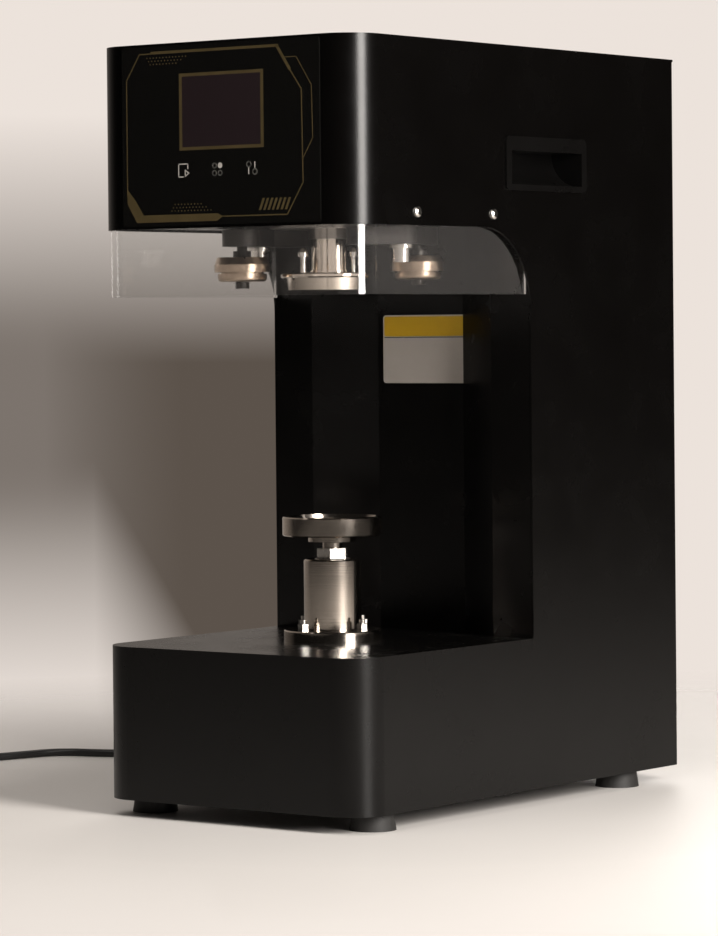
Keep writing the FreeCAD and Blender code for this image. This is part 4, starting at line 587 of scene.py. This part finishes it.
# ---- sub-assemblies ----------------------------------------------------------------------
@dataclass
class MainsPlug:
    """The moulded plug with grip ribs and a ringed tail, and its two bright blades."""

    blade_length: float = 18 * MM
    blade_size: Point = (1.5 * MM, 6.3 * MM)
    blade_apart: float = 6.35 * MM
    blade_root: float = 1.0 * MM
    blade_edge: float = 0.4 * MM
    rear_taper: Point = (0.62, 0.72)
    body_edge: float = 3.5 * MM
    rib_count: int = 5
    rib_first: float = 0.2
    rib_pitch: float = 0.12
    rib_lean: float = 0.19
    rib_sink: float = 0.012
    rib_half: tuple[float, float, float] = (1.1 * MM, 0.8 * MM, 5.2 * MM)
    tail_length: float = 22 * MM
    tail_radii: Point = (4.4 * MM, 3.9 * MM)
    ring_count: int = 6
    ring_radius: float = 5.0
    ring_step: float = 0.18
    ring_first: float = 1.5
    ring_pitch: float = 3.6
    ring_width: float = 2.6 * MM
    ring_taper: float = 0.96

    def build(self) -> list[bpy.types.Object]:
        """Makes the moulding and the blades in the box of the CAD plug."""
        low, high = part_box("mains_plug")
        middle = (low + high) / 2
        body = bmesh.new()
        self.block(body, low, high, middle)
        self.tail(body, high, middle)
        moulding = finished("plug_moulding", body, ["cord_black"], "cabinet")
        for face in moulding.data.polygons:
            face.use_smooth = True
        blades = self.blades(low, middle)
        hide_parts("mains_plug")
        return [moulding, blades]

    def block(self, body: bmesh.types.BMesh, low: Vector, high: Vector,
              middle: Vector) -> None:
        """Adds the tapered block and its grip ribs."""
        size = Vector((high.x - low.x - self.blade_length - self.tail_length,
                       high.y - low.y, high.z - low.z))
        centre = Vector((low.x + self.blade_length + size.x / 2, middle.y, middle.z))
        bmesh.ops.create_cube(body, size=1.0, matrix=Matrix.Translation(centre)
                              @ Matrix.Diagonal((*size, 1.0)))
        rear = [v for v in body.verts if v.co.x > centre.x]
        bmesh.ops.scale(body, vec=(1.0, *self.rear_taper), verts=rear,
                        space=Matrix.Translation(-centre))
        bmesh.ops.bevel(body, geom=list(body.edges), offset=self.body_edge, segments=4,
                        profile=0.5, material=-1, affect="EDGES")
        for index in range(self.rib_count):
            reach = size.x * (self.rib_first + self.rib_pitch * index)
            out = 0.5 - self.rib_lean * reach / size.x - self.rib_sink
            for side in (-1, 1):
                spot = Vector((centre.x - size.x / 2 + reach,
                               centre.y + side * size.y * out, centre.z))
                bmesh.ops.create_uvsphere(
                    body, u_segments=10, v_segments=6, radius=1.0,
                    matrix=Matrix.Translation(spot) @ Matrix.Diagonal((*self.rib_half, 1.0)))

    def tail(self, body: bmesh.types.BMesh, high: Vector, middle: Vector) -> None:
        """Adds the strain relief: rings of falling size on a tapered neck."""
        upright = Matrix.Rotation(math.radians(90), 4, "Y")
        for index in range(self.ring_count):
            radius = (self.ring_radius - self.ring_step * index) * MM
            at = high.x - self.tail_length + (self.ring_first + self.ring_pitch * index) * MM
            bmesh.ops.create_cone(
                body, cap_ends=True, segments=24, radius1=radius,
                radius2=radius * self.ring_taper, depth=self.ring_width,
                matrix=Matrix.Translation((at, middle.y, middle.z)) @ upright)
        bmesh.ops.create_cone(
            body, cap_ends=True, segments=24, radius1=self.tail_radii[0],
            radius2=self.tail_radii[1], depth=self.tail_length + 2 * MM,
            matrix=Matrix.Translation((high.x - self.tail_length / 2 - MM,
                                       middle.y, middle.z)) @ upright)

    def blades(self, low: Vector, middle: Vector) -> bpy.types.Object:
        """Makes the two blades, rooted in the block."""
        pins = bmesh.new()
        for side in (-1, 1):
            spot = Vector((low.x + self.blade_length / 2 + self.blade_root / 2,
                           middle.y + side * self.blade_apart, middle.z))
            bmesh.ops.create_cube(pins, size=1.0, matrix=Matrix.Translation(spot)
                                  @ Matrix.Diagonal((self.blade_length + self.blade_root,
                                                     *self.blade_size, 1.0)))
        bmesh.ops.bevel(pins, geom=list(pins.edges), offset=self.blade_edge, segments=2,
                        profile=0.5, material=-1, affect="EDGES")
        return finished("plug_blades", pins, ["plug_metal"], "cabinet")


@dataclass
class MainsCord:
    """The cord from the gland to the plug, with its put-away length in a tied coil."""

    route: tuple[tuple[float, float, float], ...] = (
        (-90, 259.5, 56), (-90, 297, 56), (-111, 332, 42), (-150, 348, 19), (-196, 341, 4.6),
        (-240, 312, 3.6), (-284, 262, 3.6), (-322, 200, 3.6), (-362, 142, 3.6),
        (-412, 104, 3.6), (-464, 92, 3.6), (-477, 38, 3.6))
    diameter: float = 7.0 * MM
    length: float = 1.9
    coil_middle: Point = (-540.0, -18.0)
    start_angle: float = -21.5
    points_per_turn: int = 16
    outer: float = 42.2
    inner: float = 35.1
    turns: float = 5.06

    def lay(self, turn: float) -> tuple[float, float]:
        """The coil's control radius and height after so many turns, in millimetres."""
        levels = ((0.0, self.outer, 3.6), (0.72, self.outer, 3.6), (1.0, self.inner, 3.6),
                  (1.75, self.inner, 3.6), (2.0, self.inner, 10.7), (2.72, self.inner, 10.7),
                  (3.0, self.outer, 10.7), (3.75, self.outer, 10.7), (4.0, self.outer, 17.4),
                  (5.2, self.outer, 17.4))
        for (t0, r0, z0), (t1, r1, z1) in zip(levels, levels[1:]):
            if turn <= t1:
                share = (turn - t0) / (t1 - t0)
                return r0 + (r1 - r0) * share, z0 + (z1 - z0) * share
        return levels[-1][1:]

    def points(self) -> list[Vector]:
        """The control points of the whole cord, in metres."""
        points = [Vector(point) for point in self.route]
        middle = Vector((*self.coil_middle, 0.0))
        for step in range(int(self.turns * self.points_per_turn) + 1):
            turn = step / self.points_per_turn
            radius, level = self.lay(turn)
            angle = math.radians(self.start_angle - 360.0 * turn)
            points.append(middle + Vector((radius * math.cos(angle),
                                           radius * math.sin(angle), level)))
        points += [Vector((-546.0, -60.4, 17.0)), Vector((-557.0, -60.0, 12.5)),
                   Vector((-566.0, -59.6, 9.0))]
        return [point * MM for point in points]

    def build(self) -> bpy.types.Object:
        data = bpy.data.curves.new("mains_lead", "CURVE")
        data.dimensions = "3D"
        data.bevel_depth, data.bevel_resolution = self.diameter / 2, 4
        data.resolution_u, data.use_fill_caps = 8, True
        line = data.splines.new("NURBS")
        points = self.points()
        line.points.add(len(points) - 1)
        for slot, point in zip(line.points, points):
            slot.co = (*point, 1.0)
        line.order_u, line.use_endpoint_u = 3, True
        data.materials.append(look("cord_black"))
        cord = bpy.data.objects.new("mains_lead", data)
        bpy.context.scene.collection.objects.link(cord)
        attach(cord, "cabinet")
        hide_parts("power_cord", "cord_coil")
        MainsPlug().build()
        return cord


@dataclass
class PanelPrint:
    """The print under the touch overlay: screen, its gold frame, a line border and marks."""

    proud: float = 0.06 * MM
    line: float = 1.0 * MM
    screen_middle: Point = (2.1, 563.4)
    screen_size: Point = (81.0, 57.2)
    frame_size: Point = (87.0, 62.4)
    border: tuple[Point, ...] = (
        (-83, 612), (59, 612), (84, 577), (85, 503), (69, 478), (4, 478), (-86, 478),
        (-97, 496), (-97, 591))
    outer: tuple[Point, ...] = ((67, 603), (79, 603), (94, 580), (95, 538), (85, 522))
    band: tuple[Point, ...] = (
        (-97, 502), (-97, 490), (-87, 474.5), (-3, 474.5), (3, 478), (-2, 480.5),
        (-80, 480.5), (-88, 492))
    keys: tuple[float, ...] = (-37.5, -2.3, 33.2)
    key_level: float = 516.0
    key_line: float = 0.85
    sink: float = 0.02 * MM
    base: float = 14.0
    face: float = 0.0
    hatch_count: int = 7
    hatch_first: float = 40.0
    hatch_pitch: float = 4.4
    hatch_levels: Point = (482.0, 491.5)
    hatch_width: float = 2.3
    hatch_lean: float = 4.0
    dot_rows: int = 3
    dot_columns: int = 13
    dot_pitch: Point = (3.4, 2.6)
    dot_size: Point = (1.1, 1.1)
    dot_starts: tuple[tuple[Point, int], ...] = (((-75, 608.5), -1), ((-50, 483.4), 1))
    ring_chords: int = 20

    def build(self) -> list[bpy.types.Object]:
        """Makes the screen field, the gold print and the key marks."""
        low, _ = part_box("control_panel")
        self.face = low.y
        return [self.screen(), self.gold(), self.marks()]

    def at(self, corners: Iterable[Point]) -> list[Point]:
        """Millimetres on the panel as metres in the row frame."""
        return [(x * MM, (z + self.base) * MM) for x, z in corners]

    def print_on(self, mesh: bmesh.types.BMesh, corners: Iterable[Point],
                 layer: float = 1.0) -> None:
        """Adds one printed shape, as deep as its layer."""
        film(mesh, self.at(corners), self.face + self.sink, self.proud * layer + self.sink)

    def screen(self) -> bpy.types.Object:
        """The dark glass of the display."""
        mesh = bmesh.new()
        self.print_on(mesh, round_rect(self.screen_middle, self.screen_size, 0.6))
        return finished("display_glass", mesh, ["screen"], "cabinet")

    def gold(self) -> bpy.types.Object:
        """The display's frame, the line border, the band, the hatching and the dots."""
        mesh = bmesh.new()
        (x, z), (wide, high) = self.screen_middle, self.frame_size
        inner = (self.screen_size[0] / 2, self.screen_size[1] / 2)
        half = (wide / 2, high / 2)
        for across in (-1, 1):
            self.print_on(mesh, [(x + across * a, z + b) for a, b in
                                 ((half[0], -half[1]), (half[0], half[1]),
                                  (inner[0], inner[1]), (inner[0], -inner[1]))][::across])
            self.print_on(mesh, [(x + a, z + across * b) for a, b in
                                 ((half[0], half[1]), (-half[0], half[1]),
                                  (-inner[0], inner[1]), (inner[0], inner[1]))][::across])
        closed = [*self.border, self.border[0]]
        for start, end in zip(closed, closed[1:]):
            self.print_on(mesh, bar(start, end, self.line / MM))
        self.print_on(mesh, bar((-70, 612.6), (60, 612.6), 2.2), 0.9)
        self.print_on(mesh, bar((60.5, 611), (72, 594), 2.6), 0.9)
        for start, end in zip(self.outer, self.outer[1:]):
            self.print_on(mesh, bar(start, end, 0.7))
        self.print_on(mesh, self.band, 0.8)
        low, high = self.hatch_levels
        for index in range(self.hatch_count):
            left = self.hatch_first + self.hatch_pitch * index
            right, lean = left + self.hatch_width, self.hatch_lean
            self.print_on(mesh, [(left, low), (right, low), (right + lean, high),
                                 (left + lean, high)])
        for row in range(self.dot_rows):
            for column in range(self.dot_columns - 2 * row):
                for (start, level), way in self.dot_starts:
                    spot = (start + self.dot_pitch[0] * (column + row / 2),
                            level + way * self.dot_pitch[1] * row)
                    self.print_on(mesh, round_rect(spot, self.dot_size, 0.5, 2))
        return finished("panel_lines", mesh, ["gold_print"], "cabinet")

    def ring(self, mesh: bmesh.types.BMesh, centre: Point, radius: float, line: float) -> None:
        """Adds a printed ring of chords."""
        count = self.ring_chords
        spots = [(centre[0] + radius * math.cos(2 * math.pi * i / count),
                  centre[1] + radius * math.sin(2 * math.pi * i / count))
                 for i in range(count + 1)]
        for start, end in zip(spots, spots[1:]):
            self.print_on(mesh, bar(start, end, line))

    def marks(self) -> bpy.types.Object:
        """The touch keys' plain pictures: a page with an arrow, four dots and two sliders."""
        mesh = bmesh.new()
        level, line = self.key_level, self.key_line
        x = self.keys[0]
        page = [(x + 4.6, level + 1.5), (x + 4.6, level + 5.2), (x - 5.0, level + 5.2),
                (x - 5.0, level - 5.2), (x - 0.2, level - 5.2)]
        for start, end in zip(page, page[1:]):
            self.print_on(mesh, bar(start, end, line))
        arrow = [(x + 1.8, level + 0.2), (x + 1.8, level - 4.8), (x + 5.6, level - 2.3),
                 (x + 1.8, level + 0.2)]
        for start, end in zip(arrow, arrow[1:]):
            self.print_on(mesh, bar(start, end, line))
        x = self.keys[1]
        for across, up in ((-1, 1), (-1, -1), (1, -1)):
            self.ring(mesh, (x + 2.9 * across, level + 3.0 * up), 1.9, line)
        self.print_on(mesh, round_rect((x + 2.9, level + 3.0), (4.6, 4.6), 2.25, 6))
        x = self.keys[2]
        for side in (-1, 1):
            self.ring(mesh, (x + 3.1 * side, level - 3.0 * side), 2.1, line)
            self.print_on(mesh, bar((x + 3.1 * side, level - 0.6 * side),
                                    (x + 3.1 * side, level + 4.6 * side), line))
        return finished("key_marks", mesh, ["key_print"], "cabinet")


@dataclass
class CautionSticker:
    """A blank sticker with a yellow head, on the flat of the column's channel."""

    left: float = -39.5
    right: float = 47.7
    bottom: float = 353.0
    top: float = 411.7
    radius: float = 3.0
    head: float = 17.0
    thickness: float = 0.15 * MM
    print_thickness: float = 0.03 * MM
    inset: float = 1.3 * MM
    head_radius: float = 1.8 * MM
    rule_gap: float = 0.9 * MM
    rule_size: float = 0.8 * MM
    rule_radius: float = 0.3 * MM
    sight_level: float = 0.38
    usual_depth: float = 0.0395

    def build(self) -> bpy.types.Object:
        """Makes the sticker as a white film with a yellow film above a thin rule."""
        wall = bpy.data.objects["column_cover"]
        hit, place, _, _ = wall.ray_cast(Vector((0.0, 0.0, self.sight_level)),
                                         Vector((0.0, 1.0, 0.0)))
        depth = place.y if hit else self.usual_depth
        mesh = bmesh.new()
        centre = ((self.left + self.right) / 2 * MM, (self.bottom + self.top) / 2 * MM)
        size = ((self.right - self.left) * MM, (self.top - self.bottom) * MM)
        film(mesh, round_rect(centre, size, self.radius * MM), depth, self.thickness)
        width = size[0] - 2 * self.inset
        head = (centre[0], (self.top - self.head / 2) * MM - self.inset)
        film(mesh, round_rect(head, (width, self.head * MM), self.head_radius),
             depth - self.thickness, self.print_thickness, 1)
        rule = (centre[0], head[1] - self.head / 2 * MM - self.rule_gap)
        film(mesh, round_rect(rule, (width, self.rule_size), self.rule_radius),
             depth - self.thickness, self.print_thickness, 2)
        return finished("blank_sticker", mesh,
                        ["sticker_white", "sticker_yellow", "sticker_rule"], "cabinet")


class FrameDress:
    """Gives every CAD node the finish of its record slot."""

    def __init__(self, frame: dict) -> None:
        """Keeps the loaded frame."""
        self.frame = frame

    def build(self) -> None:
        """Assigns the finishes."""
        for part in self.frame["record"]["subparts"]:
            node = self.frame["nodes"][part["node"]]
            node.data.materials.clear()
            node.data.materials.append(look(part["material_slot"]))


def corners(box: tuple[Vector, Vector]) -> list[list[float]]:
    """A box's two corners as plain lists."""
    return [list(box[0]), list(box[1])]


def main() -> None:
    """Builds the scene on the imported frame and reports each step."""
    logging.basicConfig(level=logging.INFO, format="%(message)s")
    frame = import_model()
    for group in (grain_group, ring_group, wear_group):
        group()
    for finish in FINISHES:
        finish.build()
    ViewPoint().build()
    steps: tuple[tuple[str, Callable[[], object]], ...] = (
        ("mains cord", MainsCord().build), ("studio", Studio().build),
        ("frame finishes", FrameDress(frame).build), ("panel print", PanelPrint().build),
        ("sticker", CautionSticker().build))
    for name, step in steps:
        step()
        LOG.info("built %s", name)


if __name__ == "__main__":
    main()
